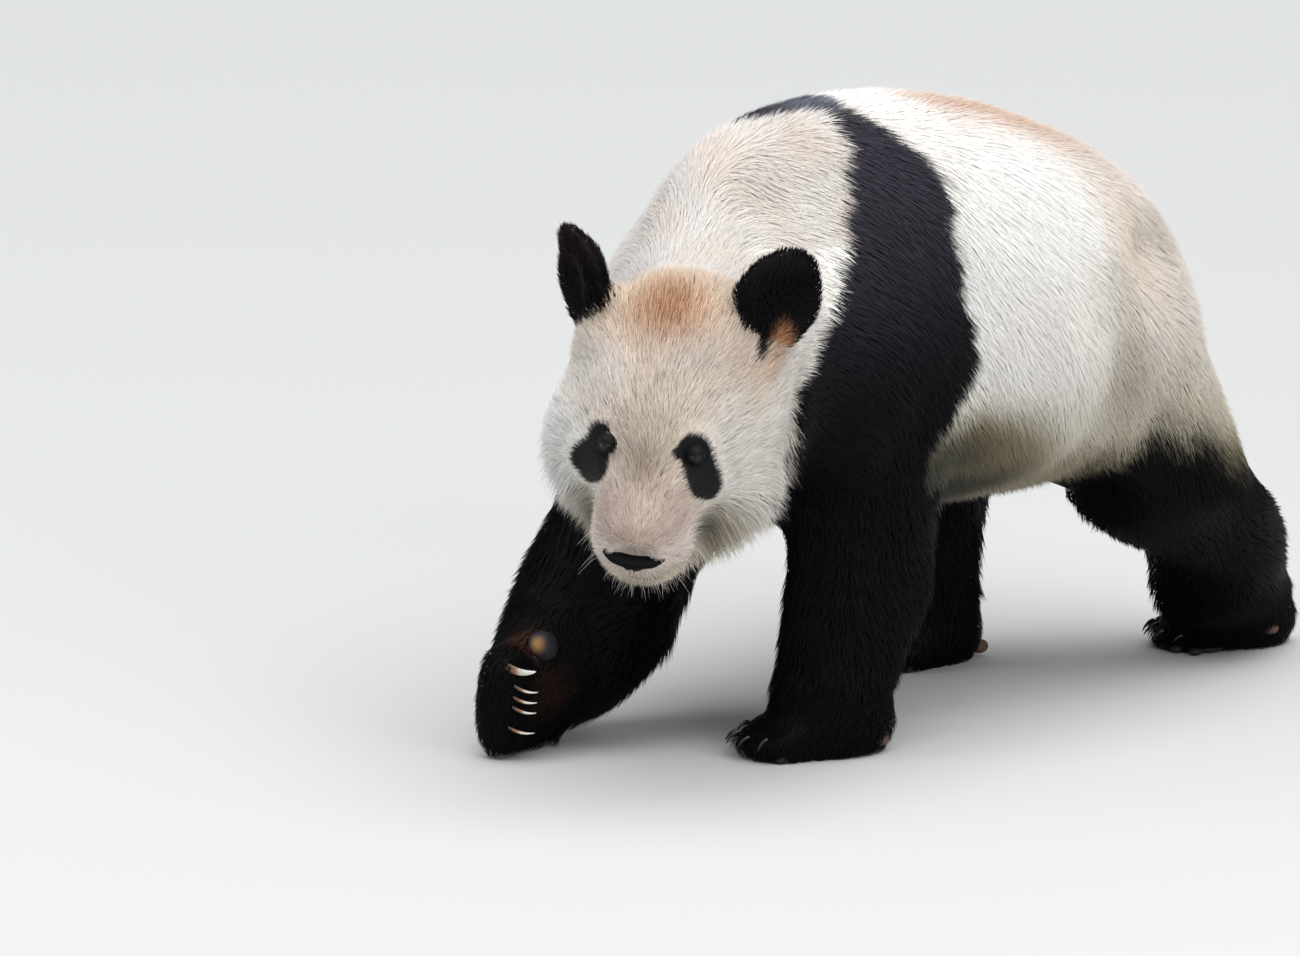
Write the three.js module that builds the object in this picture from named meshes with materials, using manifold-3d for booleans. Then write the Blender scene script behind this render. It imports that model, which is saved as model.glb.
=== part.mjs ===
// A life-size giant panda in mid stride, as a museum shows it: head low and turned to its left, right
// forepaw swung forward with its outer edge just down, left hind leg trailing.
// Millimetres, +Z up, the animal faces -Y and its left is +X. The floor is z = 0.
// The flesh is one smooth field of named masses, out to the tips of the coat, parted by thin flat cuts.
import * as THREE from "three";
import { mergeVertices } from "three/addons/utils/BufferGeometryUtils.js";
import Module from "manifold-3d";

const wasm = await Module();
wasm.setup();

// ---- Driving dimensions -------------------------------------------------------------------------
const GAP = 0.5; // clearance where two parts meet
const backHeight = 785; // top of the withers and of the back
const rumpHeight = 705;
const bellyHeight = 288; // underside of the belly
const trunkHalfWidth = 250;
const trunkLength = 560; // shoulder joints to hip joints
const swayToLeft = 20; // the hips swing this far to the animal's left
const clawLength = 30; // from its root, most of it inside the toe
const curledClawLength = 42;
const cell = { trunk: 58, leg: 39, paw: 27, head: 26, ear: 15, tail: 36 }; // net spacing on each part

// ---- Masses: each is a function that gives the signed distance to a solid ------------------------
const radians = (degrees) => (degrees * Math.PI) / 180;

// A frame at a point, turned by yaw about Z, then pitch about X, then roll about Y, in degrees.
function frameAt(point, yaw = 0, pitch = 0, roll = 0) {
  const turn = new THREE.Euler(radians(pitch), radians(roll), radians(yaw), "ZXY");
  return new THREE.Matrix4().makeRotationFromEuler(turn).setPosition(...point);
}

// A mass described in its own frame, set in the animal's frame.
function placed(frame, mass) {
  const e = frame.clone().invert().elements;
  return (x, y, z) =>
    mass(
      e[0] * x + e[4] * y + e[8] * z + e[12],
      e[1] * x + e[5] * y + e[9] * z + e[13],
      e[2] * x + e[6] * y + e[10] * z + e[14],
    );
}

function ellipsoid([cx, cy, cz], [rx, ry, rz]) {
  return (x, y, z) => {
    const [px, py, pz] = [(x - cx) / rx, (y - cy) / ry, (z - cz) / rz];
    const outward = Math.hypot(px, py, pz);
    return (outward * (outward - 1)) / (Math.hypot(px / rx, py / ry, pz / rz) + 1e-9);
  };
}

// A limb segment: a rod from a to b whose radius runs from ra to rb.
function limb(a, b, ra, rb) {
  const along = b.map((v, i) => v - a[i]);
  const square = along.reduce((sum, v) => sum + v * v, 0);
  return (x, y, z) => {
    const [px, py, pz] = [x - a[0], y - a[1], z - a[2]];
    const share = (px * along[0] + py * along[1] + pz * along[2]) / square;
    const t = Math.min(1, Math.max(0, share));
    const off = Math.hypot(px - t * along[0], py - t * along[1], pz - t * along[2]);
    return off - (ra + t * (rb - ra));
  };
}

// The union of two distances, rounded where they meet over a width of k.
function soften(a, b, k) {
  const h = Math.max(k - Math.abs(a - b), 0) / k;
  return Math.min(a, b) - (h * h * k) / 4;
}

function blend(k, ...masses) {
  return (x, y, z) => masses.reduce((sum, mass) => soften(sum, mass(x, y, z), k), 1e6);
}

// A mass with a smooth hollow pressed into it.
function dented(k, mass, hollow) {
  return (x, y, z) => -soften(-mass(x, y, z), hollow(x, y, z), k);
}

const union = (...masses) => (x, y, z) => Math.min(...masses.map((mass) => mass(x, y, z)));

// ---- Solids ---------------------------------------------------------------------------------------
// The closed surface where a field is zero, as a net with one vertex in each cell that it crosses.
function netOf(field, low, high, size) {
  const count = low.map((v, i) => Math.ceil((high[i] - v) / size) + 1);
  const at = (i, j, k) => [low[0] + i * size, low[1] + j * size, low[2] + k * size];
  const index = (i, j, k) => (k * count[1] + j) * count[0] + i;
  const value = new Float64Array(count[0] * count[1] * count[2]);
  for (let k = 0; k < count[2]; k++)
    for (let j = 0; j < count[1]; j++)
      for (let i = 0; i < count[0]; i++) {
        const edge = [i, j, k].some((v, n) => v === 0 || v === count[n] - 1);
        value[index(i, j, k)] = edge ? size : field(...at(i, j, k));
      }
  const positions = [];
  const vertexOf = new Map();
  const corners = [...Array(8).keys()].map((n) => [n & 1, (n >> 1) & 1, n >> 2]);
  const vertexIn = (i, j, k) => {
    const key = index(i, j, k);
    if (vertexOf.has(key)) return vertexOf.get(key);
    const sum = [0, 0, 0];
    let crossings = 0;
    corners.forEach((a, m) => {
      corners.slice(m + 1).forEach((b) => {
        if (a.reduce((steps, v, n) => steps + Math.abs(v - b[n]), 0) !== 1) return;
        const va = value[index(i + a[0], j + a[1], k + a[2])];
        const vb = value[index(i + b[0], j + b[1], k + b[2])];
        if (va < 0 === vb < 0) return;
        const t = va / (va - vb);
        a.forEach((v, n) => (sum[n] += v + t * (b[n] - v)));
        crossings += 1;
      });
    });
    const spot = at(i, j, k).map((v, n) => v + (sum[n] / crossings) * size);
    const inner = [i, j, k].every((v, n) => v > 0 && v < count[n] - 2);
    positions.push(...(inner ? settled(field, spot, size) : spot));
    vertexOf.set(key, positions.length / 3 - 1);
    return vertexOf.get(key);
  };
  const triangles = [];
  const axes = [0, 1, 2];
  for (let k = 0; k < count[2] - 1; k++)
    for (let j = 0; j < count[1] - 1; j++)
      for (let i = 0; i < count[0] - 1; i++)
        for (const axis of axes) {
          const step = axes.map((n) => (n === axis ? 1 : 0));
          const here = value[index(i, j, k)];
          const next = value[index(i + step[0], j + step[1], k + step[2])];
          if (here < 0 === next < 0) continue;
          const [u, w] = [(axis + 1) % 3, (axis + 2) % 3];
          const ring = [[0, 0], [1, 0], [1, 1], [0, 1]].map(([du, dw]) => {
            const c = [i, j, k];
            c[u] -= du;
            c[w] -= dw;
            return vertexIn(...c);
          });
          if (here >= 0) ring.reverse();
          const gapOf = (a, b) =>
            Math.hypot(...axes.map((n) => positions[ring[a] * 3 + n] - positions[ring[b] * 3 + n]));
          const turn = gapOf(0, 2) < gapOf(1, 3) ? 0 : 1;
          const [a, b, c, d] = ring.map((_, n) => ring[(n + turn) % 4]);
          triangles.push(a, b, c, a, c, d);
        }
  return solidFrom(positions, triangles);
}

// A point near a field's surface, walked onto it.
function settled(field, spot, size) {
  const nudge = size * 0.05;
  let [x, y, z] = spot;
  for (let pass = 0; pass < 3; pass++) {
    const d = field(x, y, z);
    const slope = [
      field(x + nudge, y, z) - field(x - nudge, y, z),
      field(x, y + nudge, z) - field(x, y - nudge, z),
      field(x, y, z + nudge) - field(x, y, z - nudge),
    ].map((v) => v / (2 * nudge));
    const steep = slope.reduce((sum, v) => sum + v * v, 0) || 1;
    const step = Math.max(-size / 3, Math.min(size / 3, d / steep));
    [x, y, z] = [x - slope[0] * step, y - slope[1] * step, z - slope[2] * step];
  }
  return [x, y, z];
}

function solidFrom(positions, triangles) {
  return new wasm.Manifold(
    new wasm.Mesh({
      numProp: 3,
      vertProperties: new Float32Array(positions),
      triVerts: new Uint32Array(triangles),
    }),
  );
}

// A three.js geometry, set in a frame, as a solid.
function solidOf(geometry, frame = new THREE.Matrix4()) {
  const bare = geometry.clone().applyMatrix4(frame);
  bare.deleteAttribute("normal");
  bare.deleteAttribute("uv");
  const merged = mergeVertices(bare, 1e-3);
  return solidFrom(merged.attributes.position.array, merged.index.array);
}

function geometryOf(solid) {
  const { vertProperties, triVerts } = solid.getMesh();
  return new THREE.BufferGeometry()
    .setAttribute("position", new THREE.BufferAttribute(new Float32Array(vertProperties), 3))
    .setIndex(new THREE.BufferAttribute(new Uint32Array(triVerts), 1));
}

// A box from low to high in a frame, drawn in on every side by the given margin.
function block(low, high, margin = 0, frame = new THREE.Matrix4()) {
  const size = high.map((v, i) => v - low[i] - 2 * margin);
  const middle = high.map((v, i) => (v + low[i]) / 2);
  const shift = new THREE.Matrix4().makeTranslation(...middle);
  return solidOf(new THREE.BoxGeometry(...size), frame.clone().multiply(shift));
}

// ---- Trunk ----------------------------------------------------------------------------------------
const hipY = trunkLength;
const trunkMiddle = (backHeight + bellyHeight) / 2;

const trunk = blend(
  110,
  ellipsoid([0, 90, 480], [trunkHalfWidth - 60, 245, 182]),
  ellipsoid([0, 85, 690], [84, 190, backHeight - 697]),
  ellipsoid([swayToLeft / 2, 310, trunkMiddle], [trunkHalfWidth - 20, 300, backHeight - trunkMiddle - 8]),
  ellipsoid([swayToLeft / 2, 370, 432], [trunkHalfWidth, 280, 444 - bellyHeight]),
  ellipsoid([swayToLeft, hipY - 24, 488], [trunkHalfWidth - 30, 226, rumpHeight - 494]),
  ellipsoid([0, -60, 460], [130, 120, 130]),
);

const tailRoot = [swayToLeft, hipY + 178, 570];
const tailTip = [swayToLeft + 6, hipY + 218, 452];
const tail = limb(tailRoot, tailTip, 44, 37);

// ---- Legs -----------------------------------------------------------------------------------------
const elbowLeft = [142, 80, 350];
const elbowRight = [-126, 4, 300];
const footCentre = {
  forepaw_left: [124, 8, 0],
  hindfoot_left: [114, 880, 0],
  hindfoot_right: [-122, 525, 0],
};
const footHeading = { forepaw_left: -32, hindfoot_left: -34, hindfoot_right: -14 };
const wristLeft = [134, 26, 95];
const wristRight = [-164, -150, 96];

const foreLegLeft = blend(
  50,
  limb([98, 45, 545], [145, 20, 460], 88, 104),
  limb([145, 20, 460], elbowLeft, 102, 86),
  limb(elbowLeft, wristLeft, 86, 75),
);
const foreLegRight = blend(
  50,
  limb([-84, 50, 510], [-136, -10, 400], 76, 96),
  limb([-136, -10, 400], elbowRight, 96, 94),
  limb(elbowRight, wristRight, 98, 78),
  limb([-140, -4, 190], [-150, -90, 122], 76, 78),
);
const hindLegLeft = blend(
  60,
  limb([125, 560, 460], [162, 640, 300], 122, 108),
  limb([162, 640, 300], [156, 780, 155], 108, 90),
  limb([156, 780, 155], [140, 874, 78], 88, 66),
);
const hindLegRight = blend(
  60,
  limb([-100, 560, 450], [-132, 540, 300], 120, 98),
  limb([-132, 540, 300], [-136, 522, 160], 96, 76),
  limb([-136, 522, 160], [-122, 545, 80], 76, 64),
);

// ---- Feet, each in a frame on the floor, toes to -y ------------------------------------------------
const toeRow = [-2, -1, 0, 1, 2];
const toeSpread = 25;
const toeReach = (n, reach) => -reach + Math.abs(n) ** 1.6 * 9;
const toeHeight = 26;

function foot({ length, width }) {
  const reach = length / 2 - 22;
  return blend(
    22,
    ellipsoid([0, 12, 34], [width / 2, length / 2 - 14, 50]),
    ...toeRow.map((n) => ellipsoid([n * toeSpread, toeReach(n, reach), toeHeight], [18, 30, 25])),
  );
}

const footSize = {
  forepaw_left: { length: 208, width: 126 },
  hindfoot_left: { length: 205, width: 118 },
  hindfoot_right: { length: 200, width: 118 },
};
const footFrame = (name) => frameAt(footCentre[name], footHeading[name]);
const footMass = (name) => placed(footFrame(name), foot(footSize[name]));

// The right forepaw hangs on edge: thumb side up, palm to the middle, toes curled under.
const pawFrame = frameAt([-156, -212, 72], 4, 0, -84);
const curledToe = (n) => [n * 27, -62 + Math.abs(n) * 5, -8];
const curledPaw = blend(
  22,
  ellipsoid([0, 8, 4], [77, 70, 40]),
  ...toeRow.map((n) => ellipsoid(curledToe(n), [18, 26, 32])),
);

// ---- Head, in its own frame: face to -y, crown to +z -----------------------------------------------
const headFrame = frameAt([150, -295, 477], 25.5, 31, 7);
const eye = { x: 52, y: -121, z: 29, radius: 12 };
const nose = { y: -227, z: -50, radii: [34, 18, 16] };
const ear = { x: 114, y: 62, z: 110, radii: [53, 21, 60], turn: 46, lean: 40 };
const sides = [1, -1];

const skull = blend(
  55,
  ellipsoid([0, 32, 30], [112, 120, 114]),
  ...sides.map((side) => ellipsoid([side * 82, -12, -42], [75, 90, 90])),
  ellipsoid([0, -62, 42], [84, 70, 60]),
  limb([0, -80, -30], [0, -172, -52], 78, 58),
  limb([0, -40, -88], [0, -152, -92], 60, 36),
);
const eyeHollow = (side) => ellipsoid([side * eye.x, eye.y - 22, eye.z], [22, 20, 16]);
const head = placed(headFrame, dented(14, dented(14, skull, eyeHollow(1)), eyeHollow(-1)));
const neck = limb([15, 10, 520], [128, -210, 500], 158, 122);

// ---- The whole body, without ears, eyes, nose, tail and claws ---------------------------------------
const core = blend(90, trunk, neck);
const body = union(
  ...[foreLegLeft, foreLegRight, hindLegLeft, hindLegRight].map((leg) => blend(70, core, leg)),
  blend(50, core, head),
  blend(26, foreLegLeft, footMass("forepaw_left")),
  blend(26, foreLegRight, placed(pawFrame, curledPaw)),
  blend(26, hindLegLeft, footMass("hindfoot_left")),
  blend(26, hindLegRight, footMass("hindfoot_right")),
);

// ---- Flesh parts: each takes its box of the body, less the boxes of the parts above it --------------
const neckFrame = frameAt([40, -130, 560], 15, 20);
const floor = -GAP / 2; // a box drawn in by half the gap then ends at z = 0
const wide = 420;
const [white, black] = ["white_coat", "black_coat"];
const regions = [
  {
    name: "lower_jaw", coat: white, size: cell.head, frame: headFrame,
    low: [-60, -260, -200], high: [60, -60, -90],
  },
  {
    name: "head", coat: white, size: cell.head, frame: headFrame,
    low: [-260, -400, -200], high: [260, 95, 260],
  },
  {
    name: "forepaw_right", coat: black, size: cell.paw, frame: pawFrame,
    low: [-120, -160, -120], high: [120, 50, 120],
  },
  {
    name: "forepaw_left", coat: black, size: cell.paw,
    low: [0, -220, floor], high: [330, 190, 105],
  },
  {
    name: "hindfoot_left", coat: black, size: cell.paw,
    low: [-30, 660, floor], high: [wide, 1100, 100],
  },
  {
    name: "hindfoot_right", coat: black, size: cell.paw,
    low: [-wide, 350, floor], high: [0, 720, 100],
  },
  {
    name: "neck", coat: white, size: cell.trunk, frame: neckFrame,
    low: [-wide, -wide, -230], high: [wide, 0, 300],
  },
  {
    name: "forearm_right", coat: black, size: cell.leg,
    low: [-wide, -400, floor], high: [-25, 190, 330],
  },
  {
    name: "forearm_left", coat: black, size: cell.leg,
    low: [25, -160, 105], high: [330, 190, 330],
  },
  {
    name: "shoulder_right", coat: black, size: cell.trunk,
    low: [-wide, -170, 330], high: [-120, 190, 640],
  },
  {
    name: "shoulder_left", coat: black, size: cell.trunk,
    low: [120, -170, 330], high: [wide, 190, 640],
  },
  {
    name: "shank_left", coat: black, size: cell.leg,
    low: [10, 440, 100], high: [wide, 1100, 240],
  },
  {
    name: "shank_right", coat: black, size: cell.leg,
    low: [-wide, 300, 100], high: [10, 720, 240],
  },
  {
    name: "thigh_left", coat: white, size: cell.trunk,
    low: [110, 440, 240], high: [wide, 950, 560],
  },
  {
    name: "thigh_right", coat: white, size: cell.trunk,
    low: [-wide, 440, 240], high: [-90, 950, 560],
  },
  {
    name: "chest", coat: black, size: cell.trunk,
    low: [-wide, -500, 100], high: [wide, 190, 860],
  },
  {
    name: "loin", coat: white, size: cell.trunk,
    low: [-wide, 190, 100], high: [wide, 440, 860],
  },
  {
    name: "rump", coat: white, size: cell.trunk,
    low: [-wide, 440, 100], high: [wide, 950, 860],
  },
];

// The body netted over a region, whose box may be turned.
function netOver({ frame = new THREE.Matrix4(), low, high, size }) {
  const corners = [...Array(8).keys()].map((n) =>
    new THREE.Vector3(...low.map((v, i) => ((n >> i) & 1 ? high[i] : v))).applyMatrix4(frame),
  );
  const reach = new THREE.Box3().setFromPoints(corners);
  const onGrid = (v, cells) => (Math.round(v / size) + cells) * size;
  const start = reach.min.toArray().map((v) => onGrid(v, -2));
  const end = reach.max.toArray().map((v) => onGrid(v, 2));
  return netOf(body, start, end, size);
}

const pieces = {}; // name to solid and finish
const aboveFloor = block([-900, -900, 0], [900, 1400, 1200]);

regions.forEach((region, order) => {
  const inBox = netOver(region).intersect(block(region.low, region.high, GAP / 2, region.frame));
  const taken = regions.slice(0, order).map((r) => block(r.low, r.high, -GAP / 2, r.frame));
  const solid = taken.reduce((rest, box) => rest.subtract(box), inBox).intersect(aboveFloor);
  pieces[region.name] = { finish: region.coat, solid };
});
const cutAway = (name, tool) => (pieces[name].solid = pieces[name].solid.subtract(tool));

// A piece cut clear of the named parts by the gap, with each part nudged every way in turn.
function clearOf(piece, ...names) {
  const ways = [[1, 0, 0], [-1, 0, 0], [0, 1, 0], [0, -1, 0], [0, 0, 1], [0, 0, -1]];
  const nudged = (solid, way) =>
    solidOf(geometryOf(solid), new THREE.Matrix4().makeTranslation(...way.map((v) => v * GAP)));
  return names.reduce((rest, name) => {
    const part = pieces[name].solid;
    return ways.reduce((left, way) => left.subtract(nudged(part, way)), rest);
  }, piece);
}
const endOf = (side) => (side > 0 ? "left" : "right");

// ---- Eyes and nose ----------------------------------------------------------------------------------
const inHead = (point, ...turns) => headFrame.clone().multiply(frameAt(point, ...turns));

function egg(radii, by, frame) {
  return solidOf(new THREE.SphereGeometry(1, 10, 6).scale(...radii.map((r) => r + by)), frame);
}

function setInHead(name, finish, radii, point) {
  pieces[name] = { finish, solid: egg(radii, 0, inHead(point)) };
  cutAway("head", egg(radii, GAP, inHead(point)));
}

for (const side of sides)
  setInHead(`eye_${endOf(side)}`, "eye", Array(3).fill(eye.radius), [side * eye.x, eye.y, eye.z]);
setInHead("nose", "nose", nose.radii, [0, nose.y, nose.z]);

// ---- Ears and tail ----------------------------------------------------------------------------------
const earMass = dented(
  8,
  blend(14, ellipsoid([0, 0, 0], ear.radii), ellipsoid([0, 0, 26], [24, 14, 46])),
  ellipsoid([0, -19, 4], [34, 12, 38]),
);
for (const side of sides) {
  const frame = inHead([side * ear.x, ear.y, ear.z], side * ear.turn, -8, side * ear.lean);
  const centre = new THREE.Vector3().setFromMatrixPosition(frame).toArray();
  const [start, end] = [-90, 90].map((reach) => centre.map((v) => v + reach));
  const solid = clearOf(netOf(placed(frame, earMass), start, end, cell.ear), "head", "neck");
  pieces[`ear_${endOf(side)}`] = { finish: black, solid };
}
const tailNet = netOf(tail, [-80, 660, 360], [140, 880, 660], cell.tail);
pieces.tail = { finish: white, solid: clearOf(tailNet, "rump") };

// ---- Claws and thumb pad ----------------------------------------------------------------------------
// A claw that leaves its root at the origin to -y and bends down as it narrows.
function claw(frame, length) {
  const [halfWidth, halfDepth, bend] = [4.2, 6, 0.9];
  const geometry = new THREE.CylinderGeometry(0.22, 1, length, 5, 2);
  const spots = geometry.attributes.position;
  const radius = length / bend;
  for (let n = 0; n < spots.count; n++) {
    const angle = (spots.getY(n) / length + 0.5) * bend;
    const out = spots.getZ(n) * halfDepth;
    const [along, down] = [Math.sin(angle), Math.cos(angle)];
    spots.setXYZ(n, -spots.getX(n) * halfWidth, -along * (radius + out), down * (radius + out) - radius);
  }
  return solidOf(geometry, frame);
}

function addClaw(name, n, frame, root, length) {
  const solid = clearOf(claw(frame.clone().multiply(root), length), name);
  pieces[`claw_${name}_${n + 3}`] = { finish: "claw", solid };
}

for (const name of Object.keys(footSize)) {
  const reach = footSize[name].length / 2 - 22;
  for (const n of toeRow) {
    const root = frameAt([n * toeSpread, toeReach(n, reach) - 16, 28], -n * 3, 8);
    addClaw(name, n, footFrame(name), root, clawLength);
  }
}
for (const n of toeRow) {
  const across = Math.sign(n) * Math.abs(n) ** 1.55 * 13;
  addClaw("forepaw_right", n, pawFrame, frameAt([across, -70, -26], 0, 78), curledClawLength);
}

// The pad over the enlarged wrist bone that serves the forepaw as a thumb.
const padFrame = pawFrame.clone().multiply(frameAt([66, -2, -30]));
const thumbPad = clearOf(egg([15, 19, 13], 0, padFrame), "forepaw_right", "forearm_right");
pieces.thumb_pad_right = { finish: "pad", solid: thumbPad };

// ---- Colours and the finished group -------------------------------------------------------------------
const finishes = {
  white_coat: { color: 0xe9e1d3, roughness: 0.9 },
  black_coat: { color: 0x17171b, roughness: 0.8 },
  eye: { color: 0x1c120c, roughness: 0.12 },
  nose: { color: 0x1b191a, roughness: 0.45 },
  claw: { color: 0xd9cdb4, roughness: 0.4 },
  pad: { color: 0x5a5350, roughness: 0.75 },
};

const panda = new THREE.Group();
for (const [name, { finish, solid }] of Object.entries(pieces)) {
  const material = new THREE.MeshStandardMaterial({ ...finishes[finish], metalness: 0 });
  const mesh = new THREE.Mesh(geometryOf(solid), material);
  mesh.name = name;
  panda.add(mesh);
}

// The origin is the middle of the footprint, on the floor.
const bounds = new THREE.Box3().setFromObject(panda);
const middle = bounds.getCenter(new THREE.Vector3());
for (const mesh of panda.children) mesh.geometry.translate(-middle.x, -middle.y, 0);

export default panda;
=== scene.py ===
import math

import bmesh
import bpy
import numpy as np
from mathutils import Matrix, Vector
from mathutils.bvhtree import BVHTree


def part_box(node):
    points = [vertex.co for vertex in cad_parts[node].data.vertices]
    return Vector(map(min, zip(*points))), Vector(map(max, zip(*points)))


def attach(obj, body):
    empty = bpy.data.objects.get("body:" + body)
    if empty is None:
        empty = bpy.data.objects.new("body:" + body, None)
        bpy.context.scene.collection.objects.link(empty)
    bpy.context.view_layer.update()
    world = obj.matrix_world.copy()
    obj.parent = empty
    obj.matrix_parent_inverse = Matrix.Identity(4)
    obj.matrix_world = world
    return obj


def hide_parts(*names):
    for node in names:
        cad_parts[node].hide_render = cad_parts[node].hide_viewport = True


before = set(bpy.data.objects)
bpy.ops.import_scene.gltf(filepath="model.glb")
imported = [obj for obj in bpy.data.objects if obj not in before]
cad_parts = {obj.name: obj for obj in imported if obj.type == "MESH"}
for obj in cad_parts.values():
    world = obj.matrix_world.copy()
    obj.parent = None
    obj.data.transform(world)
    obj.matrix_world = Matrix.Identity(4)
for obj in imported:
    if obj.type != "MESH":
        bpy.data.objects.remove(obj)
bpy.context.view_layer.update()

scene = bpy.context.scene

# ---------------------------------------------------------------------------------------------
# The studio: a long lens at the height of the animal's shoulder, three quarters on to its left
# side, under one broad soft lamp like an overcast sky, with a weaker lamp at each side. The
# floor is pale, matt and seamless.
CAMERA_AZIMUTH, CAMERA_ELEVATION = math.radians(40), math.radians(10)
CAMERA_DISTANCE = 8.5
CAMERA_TARGET = Vector((-0.0226, -0.4086, 0.3486))
SENSOR_WIDTH, LENS = 36, 195.4
LAMPS_TARGET = (0, -0.1, 0.4)
FLOOR_REACH = 30


def aimed(location, target):
    """The turn that points a camera or a lamp from one place at another."""
    return (Vector(target) - Vector(location)).to_track_quat("-Z", "Y").to_euler()


def placed_in_scene(name, data, location=(0, 0, 0)):
    thing = bpy.data.objects.new(name, data)
    thing.location = location
    scene.collection.objects.link(thing)
    return thing


camera_data = bpy.data.cameras.new("camera")
camera_data.sensor_width, camera_data.lens = SENSOR_WIDTH, LENS
camera_data.clip_start, camera_data.clip_end = 0.1, 100
camera_way = Vector((
    math.sin(CAMERA_AZIMUTH) * math.cos(CAMERA_ELEVATION),
    -math.cos(CAMERA_AZIMUTH) * math.cos(CAMERA_ELEVATION),
    math.sin(CAMERA_ELEVATION),
))
camera = placed_in_scene("camera", camera_data, CAMERA_TARGET + camera_way * CAMERA_DISTANCE)
camera.rotation_euler = aimed(camera.location, CAMERA_TARGET)
scene.camera = camera


def lamp(name, kind, location, power, colour, **sizes):
    light = bpy.data.lights.new(name, kind)
    light.energy, light.color = power, colour
    for key, value in sizes.items():
        setattr(light, key, value)
    placed_in_scene(name, light, location).rotation_euler = aimed(location, LAMPS_TARGET)


lamp("sky_lamp", "SUN", (1.2, -1.0, 5.0), 3.95, (0.98, 0.99, 1.0), angle=math.radians(75))
lamp("left_lamp", "AREA", (4.5, -1.5, 2.0), 86, (1.0, 0.99, 0.97), size=2.6)
lamp("front_lamp", "AREA", (-2.6, -4.6, 2.8), 78, (0.96, 0.98, 1.0), size=2.6)

world = bpy.data.worlds.new("pale_room")
world.use_nodes = True
world.node_tree.nodes["Background"].inputs["Color"].default_value = (0.90, 0.95, 1.0, 1)
world.node_tree.nodes["Background"].inputs["Strength"].default_value = 0.34
scene.world = world
scene.view_settings.view_transform = "Standard"


class Finish:
    """A material on one shader, with short ways to add, set and join its nodes."""

    def __init__(self, name, **settings):
        self.material = bpy.data.materials.new(name)
        self.material.use_nodes = True
        self.tree = self.material.node_tree
        self.sockets = self.tree.nodes["Principled BSDF"].inputs
        self.join = self.tree.links.new
        for socket, value in settings.items():
            self.sockets[socket.replace("_", " ")].default_value = value

    def node(self, kind, **values):
        made = self.tree.nodes.new("ShaderNode" + kind)
        for key, value in values.items():
            if key in made.inputs:
                made.inputs[key].default_value = value
            else:
                setattr(made, key, value)
        return made

    def texture(self, kind, output="Fac", **values):
        """The value of a texture that keeps its place on the piece."""
        made = self.node(kind, **values)
        self.join(self.node("TexCoord").outputs["Object"], made.inputs["Vector"])
        return made.outputs[output]

    def raised(self, height, strength, distance):
        """Lets the surface stand up where a value is high, by a distance in metres."""
        relief = self.node("Bump", Strength=strength, Distance=distance)
        self.join(height, relief.inputs["Height"])
        self.join(relief.outputs["Normal"], self.sockets["Normal"])

    def computed(self, operation, first, second=None):
        """One step of arithmetic on node outputs or numbers."""
        step = self.node("Math", operation=operation)
        for socket, value in zip(step.inputs, (first, second)):
            if isinstance(value, (int, float)):
                socket.default_value = value
            elif value is not None:
                self.join(value, socket)
        return step.outputs[0]

    def graded(self, value, *stops):
        """Colours along a value: (place, colour) pairs."""
        ramp_node = self.node("ValToRGB")
        elements = ramp_node.color_ramp.elements
        while len(elements) < len(stops):
            elements.new(0.5)
        for element, (at, colour) in zip(elements, stops):
            element.position, element.color = at, (*colour, 1)
        self.join(value, ramp_node.inputs["Fac"])
        return ramp_node.outputs["Color"]

    def coloured(self, colour):
        self.join(colour, self.sockets["Base Color"])


floor_paint = Finish("matt_floor_paint", Base_Color=(0.52, 0.52, 0.51, 1), Roughness=0.75)
floor_paint.raised(floor_paint.texture("TexNoise", Scale=220.0, Detail=2.0), 0.05, 0.001)

floor_corners = [(x * FLOOR_REACH, y * FLOOR_REACH, 0) for x, y in ((-1, -1), (1, -1), (1, 1), (-1, 1))]
floor_mesh = bpy.data.meshes.new("floor")
floor_mesh.from_pydata(floor_corners, [], [(0, 1, 2, 3)])
floor_mesh.materials.append(floor_paint.material)
floor = placed_in_scene("floor", floor_mesh)

# ---------------------------------------------------------------------------------------------
# The hide: one closed skin over head, trunk, tail and legs, drawn tight over the flesh without a
# seam. It is found by closing the cuts between the solids, evening out their flats, and sinking
# the whole surface by the depth of the coat that grows on it, which differs from part to part.
MM = 0.001
# Solids whose names start so aren't under the hide.
BARE = ("claw_", "eye_", "nose", "thumb_pad")
SAME_PLACE = 0.01 * MM
CLOSING_SWELL = 1.5 * MM
HIDE_GRAIN = 7.2 * MM
SOLE_HEIGHT = 1.0 * MM

# For each part of the body: depth of coat over the skin (mm), length of a tuft (mm), how far a
# tuft stands up (degrees), gap between tufts (mm), width of a tuft (mm) and rounds of evening.
COATS = {
    "head": (9, 19, 34, 2.05, 1.35, 10),
    "lower_jaw": (8, 19, 36, 2.1, 1.35, 8),
    "ear": (4, 15, 42, 2.2, 1.7, 3),
    "neck": (12, 22, 34, 2.5, 1.4, 26),
    "chest": (13, 30, 26, 2.8, 1.5, 34),
    "shoulder": (15, 32, 26, 3.0, 1.9, 30),
    "forearm": (15, 38, 26, 3.3, 2.2, 22),
    "forepaw": (7, 20, 26, 3.1, 1.9, 7),
    "loin": (13, 35, 22, 2.7, 1.45, 34),
    "rump": (14, 35, 23, 2.7, 1.45, 32),
    "thigh": (15, 36, 24, 3.0, 1.8, 30),
    "shank": (15, 38, 27, 3.3, 2.3, 22),
    "hindfoot": (7, 20, 26, 3.1, 2.0, 7),
    "tail": (13, 34, 26, 3.0, 2.0, 5),
}
DEPTH, LENGTH, LIFT, GAP, WIDTH, ROUNDS = range(6)
MOST_ROUNDS = max(row[ROUNDS] for row in COATS.values())

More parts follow.
